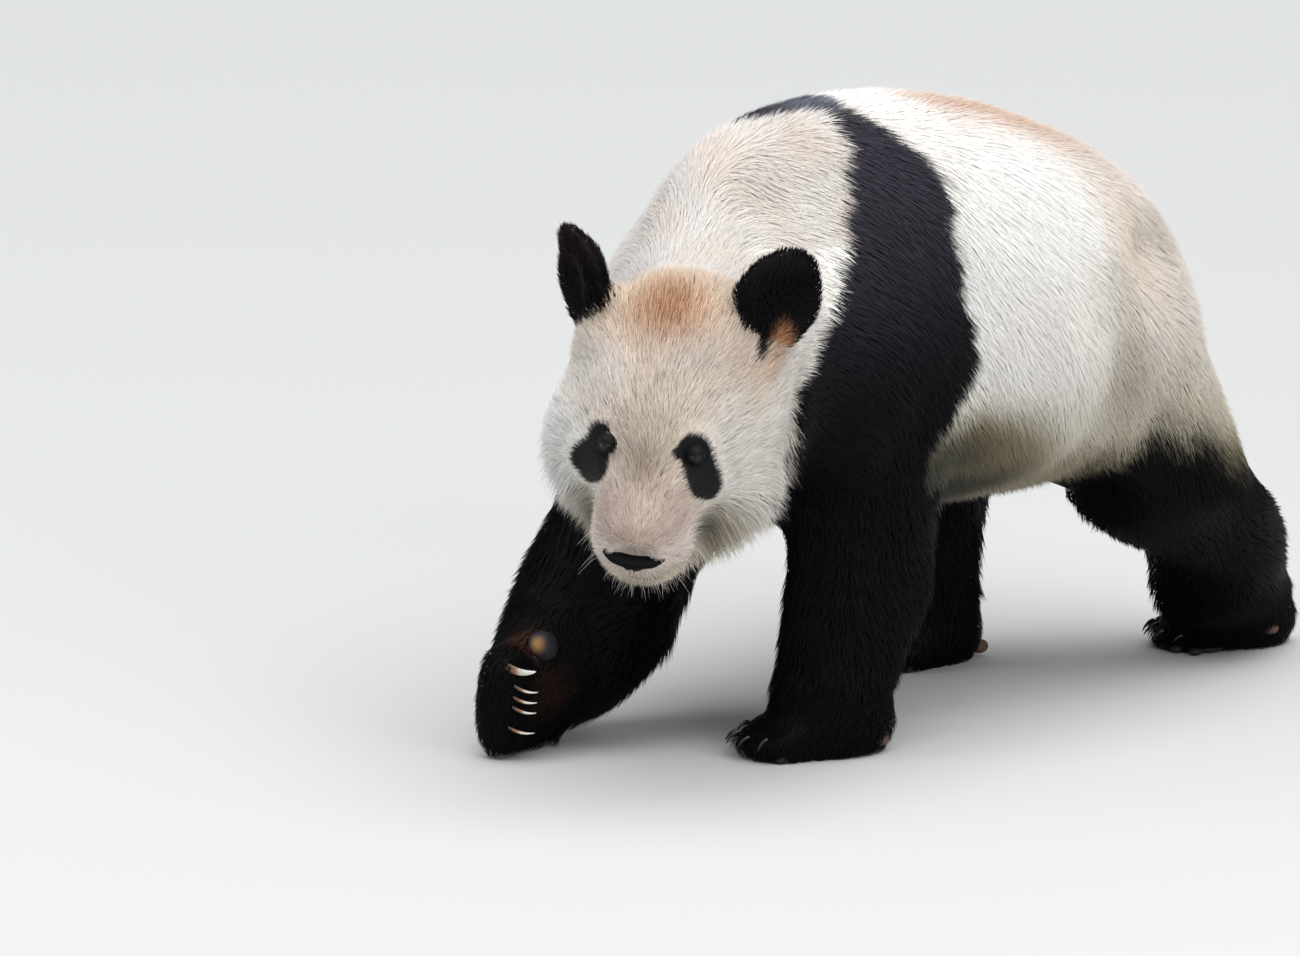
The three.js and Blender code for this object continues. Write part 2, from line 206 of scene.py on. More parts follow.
flesh = [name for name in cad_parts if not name.startswith(BARE)]
flesh_coats = np.array([
    next(COATS[part] for part in COATS if name.startswith(part)) for name in flesh
], float)


def array_of(collection, key, wide, kind=np.float32):
    """One value of every member of a Blender collection, as rows of an array."""
    values = np.empty(len(collection) * wide, kind)
    collection.foreach_get(key, values)
    return values.reshape(-1, wide) if wide > 1 else values


def unit(vectors):
    return vectors / np.maximum(np.linalg.norm(vectors, axis=-1, keepdims=True), 1e-9)


whole = bmesh.new()
owner_of_face = []
for index, name in enumerate(flesh):
    solid = bmesh.new()
    solid.from_mesh(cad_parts[name].data)
    bmesh.ops.remove_doubles(solid, verts=solid.verts, dist=SAME_PLACE)
    solid.normal_update()
    outward = [v.normal.copy() for v in solid.verts]
    for v, way in zip(solid.verts, outward):
        v.co += way * CLOSING_SWELL
    mesh = bpy.data.meshes.new("swollen_solid")
    solid.to_mesh(mesh)
    solid.free()
    whole.from_mesh(mesh)
    owner_of_face += [index] * (len(whole.faces) - len(owner_of_face))
flesh_tree = BVHTree.FromBMesh(whole)
hide_mesh = bpy.data.meshes.new("hide")
whole.to_mesh(hide_mesh)
whole.free()

hide = placed_in_scene("hide", hide_mesh)
closing = hide.modifiers.new("closing", "REMESH")
closing.mode, closing.voxel_size = "VOXEL", HIDE_GRAIN
hide_mesh = bpy.data.meshes.new_from_object(hide.evaluated_get(bpy.context.evaluated_depsgraph_get()))
hide.modifiers.clear()
hide.data = hide_mesh


def owners(points):
    """The solid of flesh that lies nearest to each point."""
    return np.array([owner_of_face[flesh_tree.find_nearest(p)[2]] for p in points])


def of_part(owner, *starts):
    """Which points belong to the solids whose names start so."""
    return np.isin(owner, [n for n, name in enumerate(flesh) if name.startswith(starts)])


# Over the head, whose forms are small, the hide is twice as fine.
HEAD_PARTS = ("head", "lower_jaw", "ear")
fine = of_part(owners(array_of(hide_mesh.vertices, "co", 3)), *HEAD_PARTS)
hide_bm = bmesh.new()
hide_bm.from_mesh(hide_mesh)
fine_edges = [e for e in hide_bm.edges if fine[e.verts[0].index] and fine[e.verts[1].index]]
bmesh.ops.subdivide_edges(hide_bm, edges=fine_edges, cuts=1, use_grid_fill=True)
hide_bm.to_mesh(hide_mesh)
hide_bm.free()

hide_points = array_of(hide_mesh.vertices, "co", 3).astype(float)
hide_edges = array_of(hide_mesh.edges, "vertices", 2, np.int32)
hide_owner = owners(hide_points)
on_head = of_part(hide_owner, *HEAD_PARTS)


def evened(values, rounds, share=0.5):
    """Values at the hide's points, evened out between neighbours, each by its own share."""
    values = np.array(values, float).reshape(len(hide_points), -1)
    a, b = hide_edges.T
    count = len(values)
    degree = np.bincount(a, minlength=count) + np.bincount(b, minlength=count)
    for turn in range(rounds):
        near = np.stack([
            np.bincount(a, column[b], count) + np.bincount(b, column[a], count)
            for column in values.T
        ], 1) / degree[:, None]
        values += np.reshape(share(turn) if callable(share) else share, (-1, 1)) * (near - values)
    return values


def normals_now():
    """Gives the hide's mesh its points as they are now, and returns its normals."""
    hide_mesh.vertices.foreach_set("co", hide_points.astype(np.float32).ravel())
    hide_mesh.update()
    return array_of(hide_mesh.vertices, "normal", 3).astype(float)


coat_here = evened(flesh_coats[hide_owner], 14)
hide_points = evened(
    hide_points, MOST_ROUNDS, lambda turn: 0.6 * np.clip(coat_here[:, ROUNDS] - turn, 0, 1))

# The head's own directions, taken from where its eyes and nose sit: h[:, 0] is towards its left,
# h[:, 1] backwards and h[:, 2] towards its crown, in millimetres from the middle of the skull.
EYE_APART, EYE_AHEAD, EYE_UP, NOSE_AHEAD, NOSE_DOWN = 52, 121, 29, 227, 50


def middle(name):
    low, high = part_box(name)
    return np.array((low + high) / 2)


eye_centre = {side: middle("eye_" + side) for side in ("left", "right")}
between_eyes = (eye_centre["left"] + eye_centre["right"]) / 2
head_x = unit(eye_centre["left"] - eye_centre["right"])
sight = np.array((NOSE_AHEAD - EYE_AHEAD, NOSE_DOWN + EYE_UP)) / math.hypot(
    NOSE_AHEAD - EYE_AHEAD, NOSE_DOWN + EYE_UP)
to_nose = middle("nose") - between_eyes
to_nose = unit(to_nose - head_x * (to_nose @ head_x))
over_nose = np.cross(head_x, -to_nose)
head_y = -sight[0] * to_nose - sight[1] * over_nose
head_z = sight[0] * over_nose - sight[1] * to_nose
head_axes = np.stack([head_x, head_y, head_z])
head_origin = between_eyes + (head_y * EYE_AHEAD - head_z * EYE_UP) * MM


def in_head(points):
    return (points - head_origin) @ head_axes.T / MM


def from_head(points):
    return head_origin + np.asarray(points, float) * MM @ head_axes


def ramp(low, high, values):
    """0 below low, 1 above high, and a soft rise between them."""
    t = np.clip((values - low) / (high - low), 0, 1)
    return t * t * (3 - 2 * t)


def near_to(points, centre, reach):
    """1 at a centre, falling softly to 0 at its reach, which may differ along each axis."""
    return 1 - ramp(0, 1, np.linalg.norm((points - np.array(centre)) / np.array(reach), axis=-1))


def waves(points, size, seed):
    """Soft unevenness between about -1 and 1, whose humps are as wide as size (in metres)."""
    draw = np.random.default_rng(seed)
    ways = unit(draw.normal(size=(14, 3))) * draw.uniform(0.6, 1.4, (14, 1)) * math.pi / size
    return np.sin(points @ ways.T + draw.uniform(0, 2 * math.pi, 14)).sum(1) / math.sqrt(14) * 1.1


# The left ear stands open and is rounder on its inner upper edge than the solid (mm pushed out);
# the right one is turned back and narrow (share of width taken in), with its tip leaning out (mm).
EAR_ACROSS, EAR_UP = np.array((0.98, 0.2, 0)), np.array((-0.13, 0.65, 0.75))
LEFT_EAR_WAY, LEFT_EAR_ROUNDING = unit(np.array((-0.72, 0, 0.70))), 15
RIGHT_EAR_NARROWING, RIGHT_EAR_LEAN, RIGHT_EAR_SLICES = 0.16, 9, 10
in_head_points = in_head(hide_points)
from_left_ear = in_head_points - in_head(middle("ear_left"))
pushed = of_part(hide_owner, "ear_left") * ramp(4, 42, from_left_ear @ LEFT_EAR_WAY)
hide_points += LEFT_EAR_ROUNDING * MM * evened(pushed, 4) * (LEFT_EAR_WAY @ head_axes)

on_right_ear = of_part(hide_owner, "ear_right")
right_ear = in_head_points[on_right_ear]
outward, upright = right_ear @ EAR_ACROSS, right_ear @ EAR_UP
ear_share = (upright - upright.min()) / np.ptp(upright)
slice_of = (ear_share * (RIGHT_EAR_SLICES - 0.01)).astype(int)
rim_of_slice = [outward[slice_of == n].min() for n in range(RIGHT_EAR_SLICES)]
slice_middles = (np.arange(RIGHT_EAR_SLICES) + 0.5) / RIGHT_EAR_SLICES
inward = outward - np.interp(ear_share, slice_middles, rim_of_slice)
narrowed = np.zeros(len(hide_points))
narrowed[on_right_ear] = (RIGHT_EAR_NARROWING * np.maximum(inward, 0) * ramp(0.0, 0.25, ear_share)
                          + RIGHT_EAR_LEAN * ramp(0.75, 1.0, ear_share))
hide_points -= evened(narrowed, 4) * MM * (EAR_ACROSS @ head_axes)

# Seen from its front left, the head is narrower across the cheeks than the solid: how far each
# cheek is drawn in (mm) at each height of the face. The left jowl hangs a little lower.
FACE_ACROSS, FACE_UP = np.array((0.977, 0.215, -0.01)), np.array((-0.135, 0.651, 0.747))
LEFT_CHEEK_HEIGHTS = (-142, -122, -106, -82, -58, -26, 18, 62)
LEFT_CHEEK_DRAWN = (0, 18, 24, 31, 33, 24, 18, 0)
RIGHT_CHEEK_HEIGHTS = (-120, -106, -82, -26, 38, 80, 110)
RIGHT_CHEEK_DRAWN = (0, 5, 10, 4, 10, -8, 0)
JOWL, JOWL_REACH, JOWL_HANG = (76, -100, -90), (56, 66, 46), 12
across, upward = in_head_points @ FACE_ACROSS, in_head_points @ FACE_UP
drawn_left = np.interp(upward, LEFT_CHEEK_HEIGHTS, LEFT_CHEEK_DRAWN) * ramp(40, 135, across)
drawn_right = np.interp(upward, RIGHT_CHEEK_HEIGHTS, RIGHT_CHEEK_DRAWN) * ramp(-50, -140, across)
hide_points += evened(on_head * (drawn_right - drawn_left), 5) * MM * (FACE_ACROSS @ head_axes)
hanging = near_to(in_head_points, JOWL, JOWL_REACH) * ~of_part(hide_owner, "neck")
hide_points -= JOWL_HANG * MM * hanging[:, None] * (FACE_UP @ head_axes)

# In a few places the hide is drawn in from the solids, or out from them, to the living outline.
TRIMS = (
    # middle and reach (m), then which way and how far (mm)
    ((0.215, 0.335, 0.565), (0.13, 0.12, 0.13), (-0.75, -0.60, 0), 26),  # behind the hip
    ((0.265, 0.43, 0.33), (0.09, 0.10, 0.10), (-0.75, -0.60, 0), 20),  # back of the near thigh
    ((0.215, 0.315, 0.575), (0.11, 0.11, 0.05), (-0.75, -0.60, 0), 12),  # top of the hip
    ((0.10, 0.43, 0.105), (0.21, 0.12, 0.105), (0.45, 0.89, 0), 64),  # front of the near ankle
    ((0.185, -0.145, 0.19), (0.09, 0.09, 0.13), (0.55, 0.83, 0), 23),  # fuller back of the left foreleg
    ((0.04, -0.32, 0.085), (0.12, 0.12, 0.085), (0, 0, -1), 36),  # over the left fore toes
    ((0.04, 0.56, 0.085), (0.11, 0.11, 0.085), (0, 0, -1), 34),  # over the left hind toes
    ((0.12, 0.245, 0.25), (0.13, 0.085, 0.065), (0.3, 0.95, 0), 38),  # front of the near thigh
    ((0.12, -0.07, 0.29), (0.20, 0.15, 0.08), (0, 0, 1), 23),  # belly behind the elbow
    ((-0.09, -0.22, 0.18), (0.09, 0.10, 0.11), (-0.77, -0.64, 0), 24),  # right foreleg, inner side
    ((-0.24, -0.36, 0.22), (0.10, 0.11, 0.16), (-0.77, -0.64, 0), 17),  # right foreleg, outer side
)
for place, reach, way, far in TRIMS:
    hide_points += (near_to(hide_points, place, reach) * far)[:, None] * MM * unit(np.array(way, float))

# Loose skin hangs in soft upright folds low on the flanks, with a crease in front of each thigh.
# Widths are in metres and depths in mm.
FOLD_WIDE, FOLD_DEEP, CREASE_WIDE, CREASE_DEEP = 0.075, 3.4, 0.022, 5.5
low_flank = of_part(hide_owner, "loin", "rump", "chest") * ramp(0.62, 0.42, hide_points[:, 2])
low_flank = low_flank * ramp(0.10, 0.17, np.abs(hide_points[:, 0]))
folds = waves(hide_points * (1, 1, 0.22), FOLD_WIDE, 11) * FOLD_DEEP * MM * low_flank
past_crease = hide_points[:, 1] - 0.185 + 0.10 * (0.55 - hide_points[:, 2])
folds -= CREASE_DEEP * MM * np.exp(-(past_crease / CREASE_WIDE) ** 2) * low_flank
hide_points += normals_now() * evened(folds, 4)

hide_normals = unit(evened(normals_now(), 3))
in_head_points = in_head(hide_points)

# Each eye's black patch runs from the eye down and outwards. In the plane of the face (mm across
# and up), each is drawn by strokes: two ends with a radius each. The left eye's come first.
EYE_PATCHES = (
    ((25, -60), 20.5, (38, -98), 21),
    ((20, -62), 15, (6, -63), 8),
    ((-89, -38), 13, (-92, -56), 17),
    ((-92, -54), 17, (-107, -68), 18),
    ((-92, -56), 17, (-98, -82), 16.5),
)
PATCH_BACK, PATCH_LOW, FAR_AWAY = -48, -62, 1e3


def eye_patch_edge(h):
    """How far outside the nearer eye patch a point on the head lies, in mm; negative is inside."""
    edge = np.full(len(h), FAR_AWAY)
    face = np.stack([h @ FACE_ACROSS, h @ FACE_UP], 1)
    for top, top_radius, foot, foot_radius in EYE_PATCHES:
        top, foot = np.array(top, float), np.array(foot, float)
        t = np.clip((face - top) @ (foot - top) / np.sum((foot - top) ** 2), 0, 1)
        far = np.linalg.norm(face - top - t[:, None] * (foot - top), axis=1)
        edge = np.minimum(edge, far - top_radius - t * (foot_radius - top_radius))
    return edge + FAR_AWAY * ((h[:, 1] > PATCH_BACK) | (h[:, 2] < PATCH_LOW))


# The coat is short and close round the nose and eyes, fuller on the cheeks and lips, and it hangs
# long under the jaw. On soles there is none.
head_side, head_up = np.abs(in_head_points[:, 0]), in_head_points[:, 2]
toward_nose = on_head * (1 - ramp(-215, -120, in_head_points[:, 1]))
cheek = on_head * ramp(62, 96, head_side) * ramp(50, 0, head_up)
jowls = on_head * ramp(-30, -70, head_up) * ramp(-185, -135, in_head_points[:, 1])
lips = on_head * ramp(150, 190, -in_head_points[:, 1]) * np.maximum(
    ramp(-62, -84, head_up), ramp(30, 44, head_side) * ramp(0, -40, head_up))
in_patch = on_head * ramp(13, 3, eye_patch_edge(in_head_points))
eye_places = [(side * EYE_APART, -EYE_AHEAD, EYE_UP) for side in (-1, 1)]
at_lids = on_head * np.maximum(*[near_to(in_head_points, place, 30) for place in eye_places])
right_temple = on_head * near_to(in_head_points, (-100, 10, 62), (44, 80, 60))
belly = ramp(0.10, -0.55, hide_normals[:, 2]) * of_part(hide_owner, "loin", "rump", "chest")
behind_limb = ramp(0.15, 0.75, hide_normals[:, 1]) * of_part(
    hide_owner, "forearm", "shank_right", "shoulder")
over_foot = ramp(0.13, 0.085, hide_points[:, 2]) * of_part(hide_owner, "forearm", "shank")
COAT_CHANGES = (
    # where, then depth, length, lift, gap and width of the coat there
    (toward_nose, 3.4, 10, 26, 1.8, 1.1),
    (cheek, 9, 21, 31, 2.05, 1.35),
    (jowls, 8, 54, 42, 2.2, 1.6),
    (right_temple, 3, 22, 46, 2.0, 1.3),
    (lips, 4, 14, 34, 1.9, 1.15),
    (in_patch, 5, 9, 20, 1.6, 1.1),
    (at_lids, 4, 5, 16, 1.15, 0.8),
    (belly, 13, 34, 36, 2.8, 1.5),
    (behind_limb, 14, 48, 38, 3.3, 2.1),
    (over_foot, 12, 36, 34, 3.1, 2.0),
)
for where, *changed in COAT_CHANGES:
    coat_here[:, :ROUNDS] += where[:, None] * (np.array(changed) - coat_here[:, :ROUNDS])
sole = ramp(0.55, 0.9, -hide_normals[:, 2]) * (1 - ramp(0.006, 0.02, hide_points[:, 2]))
coat_here[:, DEPTH] *= 1 - sole

hide_points -= hide_normals * coat_here[:, [DEPTH]] * MM
hide_points = evened(hide_points, 2, 0.4)
hide_points[:, 2] = np.maximum(hide_points[:, 2], SOLE_HEIGHT)

# The sockets: the hide dips behind each eyeball, so that only its lids meet the eye. Each eye has
# directions of its own: towards the head's left, up, and out along its gaze. Sizes are in mm.
EYE_RADIUS, LID_RADIUS = 11.5, 12.4
SOCKET_RADIUS, SOCKET_EDGE, SOCKET_FLOOR = 9, 14, 2
GAZE_UP, GAZE_APART = 0.30, 0.16
eye_axes = {}
for side, sign in (("left", 1), ("right", -1)):
    gaze = unit(-head_y + GAZE_UP * head_z + sign * GAZE_APART * head_x)
    eye_x = unit(head_x - gaze * (head_x @ gaze))
    eye_axes[side] = (eye_x, np.cross(gaze, eye_x), gaze)
    offset = (hide_points - eye_centre[side]) / MM
    ahead = offset @ gaze
    off_axis = np.linalg.norm(offset - ahead[:, None] * gaze, axis=1)
    in_socket = 1 - ramp(SOCKET_RADIUS, SOCKET_EDGE, off_axis)
    hide_points -= gaze * (in_socket * np.maximum(ahead - SOCKET_FLOOR, 0))[:, None] * MM

# Which way the coat lies on each part: back along the trunk, down the legs, forward over the toes,
# away from the nose on the head and out to the rim on the ears.
LIE = {
    "neck": (-0.2, 1, -0.45), "chest": (0, 0.5, -1), "shoulder": (0, 0.5, -1),
    "forepaw": (0, -0.6, -0.8), "loin": (0, 0.45, -1), "rump": (0, 0.5, -1),
    "thigh": (0, 0.5, -1), "hindfoot": (0, -0.5, -0.9), "tail": (0, 0.1, -1),
}
LIMBS = {"forearm": "forepaw", "shank": "hindfoot"}
MUZZLE_TIP, EAR_FOOT = (0, -238, -52), (88, 60, 66)
lie_of_node = np.array([
    next((LIE[part] for part in LIE if name.startswith(part)), (0, 1, 0)) for name in flesh
], float)
hide_lie = lie_of_node[hide_owner]
on_back = of_part(hide_owner, "neck", "chest", "loin", "rump")
sloping = np.maximum(np.abs(hide_normals[:, 0]), hide_normals[:, 1])
sloping = np.maximum(sloping, ramp(0.25, -0.35, hide_normals[:, 2]))
hide_lie[:, 2] *= np.where(on_back, np.clip(1.6 * sloping - 0.1, 0, 1), 1)
hide_lie[on_back, 1] = np.maximum(hide_lie[on_back, 1], 1 - 1.2 * sloping[on_back])
hide_lie = unit(hide_lie)
away_from_nose = unit(hide_points - from_head(MUZZLE_TIP)) + np.array((0, 0, -0.15))
away_from_nose -= np.array((0, 0, 1.5)) * jowls[:, None]
for index, name in enumerate(flesh):
    own = hide_owner == index
    limb, side = name.rsplit("_", 1) if "_" in name else (name, "")
    if name.startswith(("head", "lower_jaw")):
        hide_lie[own] = unit(away_from_nose)[own]
    if limb in LIMBS:
        down_limb = unit(middle(LIMBS[limb] + "_" + side) - middle(name))
        swept = 0.25 + 0.75 * ramp(-0.05, 0.06, hide_points[own, 1] - middle(name)[1])
        hide_lie[own] = unit(down_limb + np.array((0, 1.0, 0)) * swept[:, None])
    if limb == "ear":
        ear_foot = from_head((math.copysign(EAR_FOOT[0], in_head(middle(name))[0]), *EAR_FOOT[1:]))
        hide_lie[own] = unit(hide_points - ear_foot)[own]
hide_normals = unit(evened(normals_now(), 2))
hide_lie = evened(hide_lie, 24)
for side, (_, _, gaze) in eye_axes.items():
    from_eye = hide_points - eye_centre[side]
    off_axis = from_eye - (from_eye @ gaze)[:, None] * gaze
    round_lids = on_head * (1 - ramp(12, 26, np.linalg.norm(from_eye, axis=1) / MM))
    hide_lie += round_lids[:, None] * (unit(off_axis) + 0.25 * unit(hide_lie) - hide_lie)


def laid_flat(ways, normals):
    """Directions turned so that each lies flat on the surface."""
    return unit(ways - normals * np.sum(ways * normals, 1, keepdims=True))


hide_lie = laid_flat(hide_lie, hide_normals)


def tinted(colour, *tints):
    """Colours dyed by one tint after another, each to its own share at every point."""
    for tint, share in tints:
        colour = colour + (np.array(tint) - colour) * share[:, None]
    return colour


# The markings and the painted light and shade, in linear colour. White fur is cream, tan or orange
# where it is stained, and olive in places; painted shade darkens it in creases and folds, under the chin,
# at the mouth's corners and about the elbows, and painted light pales the muzzle's lower sides. Black
# fur is brown at the ears' roots and about the raised palm; a painted slate sheen grows up the shoulder
# band, with a painted highlight over the withers.
WHITE, CREAM, NECK_CREAM = (0.93, 0.91, 0.88), (0.86, 0.81, 0.74), (0.68, 0.635, 0.60)
RUMP_CREAM, HEAD_CREAM, TEMPLE_CREAM = (0.67, 0.595, 0.53), (0.66, 0.56, 0.475), (0.69, 0.64, 0.61)
TAN, ORANGE, UMBER = (0.66, 0.48, 0.33), (0.46, 0.225, 0.11), (0.23, 0.17, 0.12)
GREY_TAN, OLIVE, YELLOW = (0.50, 0.43, 0.34), (0.27, 0.22, 0.13), (0.66, 0.60, 0.44)
BROW_GREY, ROSE, LOWER_MUZZLE_LIGHT = (0.47, 0.41, 0.36), (0.48, 0.375, 0.325), (0.90, 0.79, 0.73)
DARK_TIPS, MOUTH_SHADE, ELBOW_SHADE = (0.14, 0.062, 0.028), (0.06, 0.05, 0.03), (0.040, 0.038, 0.024)
BLACK, SLATE, WITHERS_HIGHLIGHT = (0.0030, 0.0028, 0.0034), (0.040, 0.038, 0.050), (0.17, 0.18, 0.22)
RUSTY, PALM_BROWN = (0.060, 0.020, 0.010), (0.022, 0.008, 0.005)

# Edges of the black shoulder band: height (m), then how far back they run on the left and right.
BAND_HEIGHTS = (0.36, 0.425, 0.464, 0.55, 0.634, 0.71, 0.768)
BAND_FRONT = (
    (-0.46, -0.425, -0.40, -0.328, -0.233, -0.163, -0.120),
    (-0.50, -0.47, -0.38, -0.31, -0.28, -0.245, -0.210),
)
BAND_REAR = (
    (-0.160, -0.090, -0.068, -0.078, -0.058, -0.040, -0.086),
    (-0.175, -0.170, -0.12, -0.105, -0.095, -0.080, -0.070),
)
# Edge of the black of the hind legs: how far back (m), then the height that the black reaches.
HIND_PLACES = (0.19, 0.24, 0.29, 0.35, 0.46)
HIND_TOPS = (0.232, 0.296, 0.350, 0.336, 0.292)
# Behind the left cheek, in the plane of the face (mm): height, then how far across black begins.
NAPE_HEIGHTS = (-120, -91, -67, -34, -1, 32, 60)
NAPE_EDGE = (108, 128, 137, 143, 149, 163, 192)


def body_black(points, owner, ragged):
    """The share of black on trunk and limbs, that of the shoulder band, and where its front is."""
    x, y, z = points.T
    wander = waves(points, 0.045, 1) * 0.004 + waves(points, 0.015, 2) * 0.002 + ragged
    right = ramp(-0.025, 0.03, -x - 0.005)
    front, rear = (
        (1 - right) * np.interp(z, BAND_HEIGHTS, on_left) + right * np.interp(z, BAND_HEIGHTS, on_right)
        for on_left, on_right in (BAND_FRONT, BAND_REAR)
    )
    band = ramp(-0.005, 0.005, np.minimum(y - front, rear - y) + wander - 0.4 * ragged)
    band *= of_part(owner, "chest", "shoulder", "neck", "loin")
    hind_top = np.interp(y, HIND_PLACES, HIND_TOPS) - 0.35 * np.clip(0.20 - np.abs(x), 0, 0.11)
    hind_top += 0.008 * waves(points * (1, 1, 0.3), 0.05, 9)
    hind_top -= 0.040 * np.exp(-((y - 0.262) / 0.012) ** 2) * ramp(0.15, 0.2, x)
    hind_mix = 3.2 * np.clip(ragged, -0.006, 0.006)
    hind = ramp(-0.050, 0.044, hind_top - z + hind_mix) * (y > 0.15)
    black = np.maximum.reduce([
        band,
        hind * of_part(owner, "thigh", "shank", "loin", "rump"),
        of_part(owner, "forearm_left", "forepaw", "hindfoot", "ear") * 1.0,
        of_part(owner, "forearm_right") * ramp(-0.13, -0.17, y),
    ])
    return black, band, front


def body_white(points, owner, speckle, band_front):
    """The colour of the white fur of trunk and limbs, with painted shade laid in its creases, folds and
    hollows.
    """
    x, y, z = points.T
    trunk = of_part(owner, "chest", "loin", "rump", "thigh", "tail", "neck", "shoulder")
    fore = of_part(owner, "neck", "chest")
    spine = np.exp(-((x - 0.03 - 0.3 * np.maximum(y - 0.1, 0)) / 0.065) ** 2)
    spine *= ramp(0.60, 0.70, z) * ramp(-0.02, 0.08, y) * (1 - ramp(0.30, 0.45, y))
    before_band = fore * ramp(0.02, 0.06, band_front - y + 0.08) * ramp(0.44, 0.58, z)
    nape = fore * ramp(-0.10, -0.20, y) * ramp(0.50, 0.66, z)
    belly = trunk * (1 - ramp(0.33, 0.46, z))
    withers = trunk * near_to(points, (0.02, -0.26, 0.74), (0.16, 0.14, 0.10))
    # painted shade in the crease between the flank and the near thigh
    thigh_crease_shade = trunk * near_to(points, (0.24, 0.215, 0.42), (0.10, 0.08, 0.10))
    hip = trunk * near_to(points, (0.20, 0.275, 0.585), (0.12, 0.11, 0.15))
    # painted shade in upright folds low on the rump
    fold_shade = trunk * ramp(0.3, 1.1, waves(points * (1, 1, 0.2), 0.05, 12)) * ramp(0.10, 0.20, y)
    # painted shade in the hollow behind the elbow and along the belly's lower edge there; the olive round
    # it is partly stain, partly painted shade
    beside_elbow = ramp(0, 0.6, near_to(points, (0.18, -0.05, 0.31), (0.17, 0.25, 0.15)))
    shade_behind_elbow = ramp(0, 0.7, near_to(points, (0.20, -0.125, 0.305), (0.17, 0.22, 0.14)))
    shade_behind_elbow = np.maximum(shade_behind_elbow, ramp(0.345, 0.300, z) * ramp(0.13, 0.04, y) * ramp(-0.06, 0.02, x))
    return tinted(
        np.tile(WHITE, (len(points), 1)),
        (CREAM, 0.5 + 0.5 * waves(points, 0.16, 3).clip(-1, 1)),
        (ORANGE, trunk * 0.95 * spine * (0.5 + 0.5 * speckle)),
        (RUMP_CREAM, trunk * 0.8 * ramp(0.16, 0.36, y)),
        (NECK_CREAM, 0.9 * before_band),
        (TAN, nape * (0.06 + 0.14 * waves(points, 0.05, 8)).clip(0, 0.5)),
        (YELLOW, 0.7 * belly),
        (GREY_TAN, 0.45 * belly * ramp(0.1, 0.4, y)),
        (TAN, 0.13 * withers),
        (GREY_TAN, 0.8 * thigh_crease_shade),
        (TAN, 0.50 * hip),
        (GREY_TAN, 0.35 * fold_shade * ramp(0.70, 0.60, z)),
        # darker olive along the lowest edge of the trunk
        (OLIVE, 0.75 * trunk * ramp(0.35, 0.29, z)),
        (OLIVE, trunk * beside_elbow),
        (ELBOW_SHADE, trunk * shade_behind_elbow),
    )


def head_white(colour, h, head, speckle):
    """The colour of the white fur with that of the head laid over it, painted light and shade included."""
    side, up = np.abs(h[:, 0]), h[:, 2]
    both_sides = np.abs(h) * (1, 0, 0) + h * (0, 1, 1)
    pale_cheek = ramp(42, 92, side) * ramp(95, 30, up - 0.25 * h[:, 0])
    brow = head * np.exp(-(h[:, 0] / 34) ** 2) * ramp(-30, 60, up) * ramp(-40, 60, -h[:, 1])
    temple = np.hypot((h @ FACE_ACROSS + 92) / 56, (h @ FACE_UP - 36) / 66)
    forehead = np.hypot((h @ FACE_ACROSS - 14) / 100, (h @ FACE_UP - 56) / 72)
    crown = head * near_to(h, (-8, 12, 140), (82, 84, 60))
    muzzle = head * ramp(135, 175, -h[:, 1]) * ramp(-95, -60, up)
    bridge = head * near_to(h, (-7, -146, 28), (40, 42, 40))
    under = head * ramp(-72, -96, up) * ramp(140, 190, -h[:, 1])
    jowl = head * near_to(both_sides, (76, -112, -92), (58, 78, 56))
    corner = head * near_to(both_sides, (66, -130, -68), (32, 42, 38))
    return tinted(
        colour,
        (HEAD_CREAM, head * (1 - (0.94 - 0.34 * (h[:, 0] > 0)) * pale_cheek)),
        (GREY_TAN, 0.5 * brow),
        (TAN, 0.85 * head * near_to(h, (-6, 16, 128), (150, 145, 98))),
        (TEMPLE_CREAM, 0.8 * head * (1 - ramp(0.1, 1, temple))),
        (BROW_GREY, 0.85 * head * (1 - ramp(0.1, 1, forehead))),
        (ORANGE, 0.9 * crown),
        (DARK_TIPS, 0.95 * crown * ramp(0.25, 0.95, speckle)),
        (ROSE, 0.9 * muzzle),
        # painted light: the muzzle is paler towards its lower sides, as if lit there
        (LOWER_MUZZLE_LIGHT, 0.8 * muzzle * ramp(-18, -58, up)),
        (UMBER, bridge * (0.35 + 0.6 * speckle)),
        (UMBER, 0.45 * muzzle * ramp(0.55, 1.0, speckle) * ramp(60, 20, side)),
        (TAN, 0.5 * head * near_to(h, (-6, -225, -30), (46, 30, 24))),
        (UMBER, 0.6 * head * near_to(h, (-6, -236, -42), (40, 20, 13))),
        (YELLOW, 0.6 * under),
        # the dark line of the mouth, with painted shadow under the chin
        (OLIVE, 0.8 * head * near_to(h, (0, -212, -103), (56, 34, 15))),
        (OLIVE, jowl * (0.7 + 0.3 * speckle)),
        # painted shade in the crease at each corner of the mouth
        (MOUTH_SHADE, 0.95 * corner),
        (TAN, 0.6 * head * near_to(h, (104, 0, 60), (56, 90, 70))),
        (ORANGE, 0.6 * head * near_to(h, (118, 34, 60), (30, 46, 42))),
    )


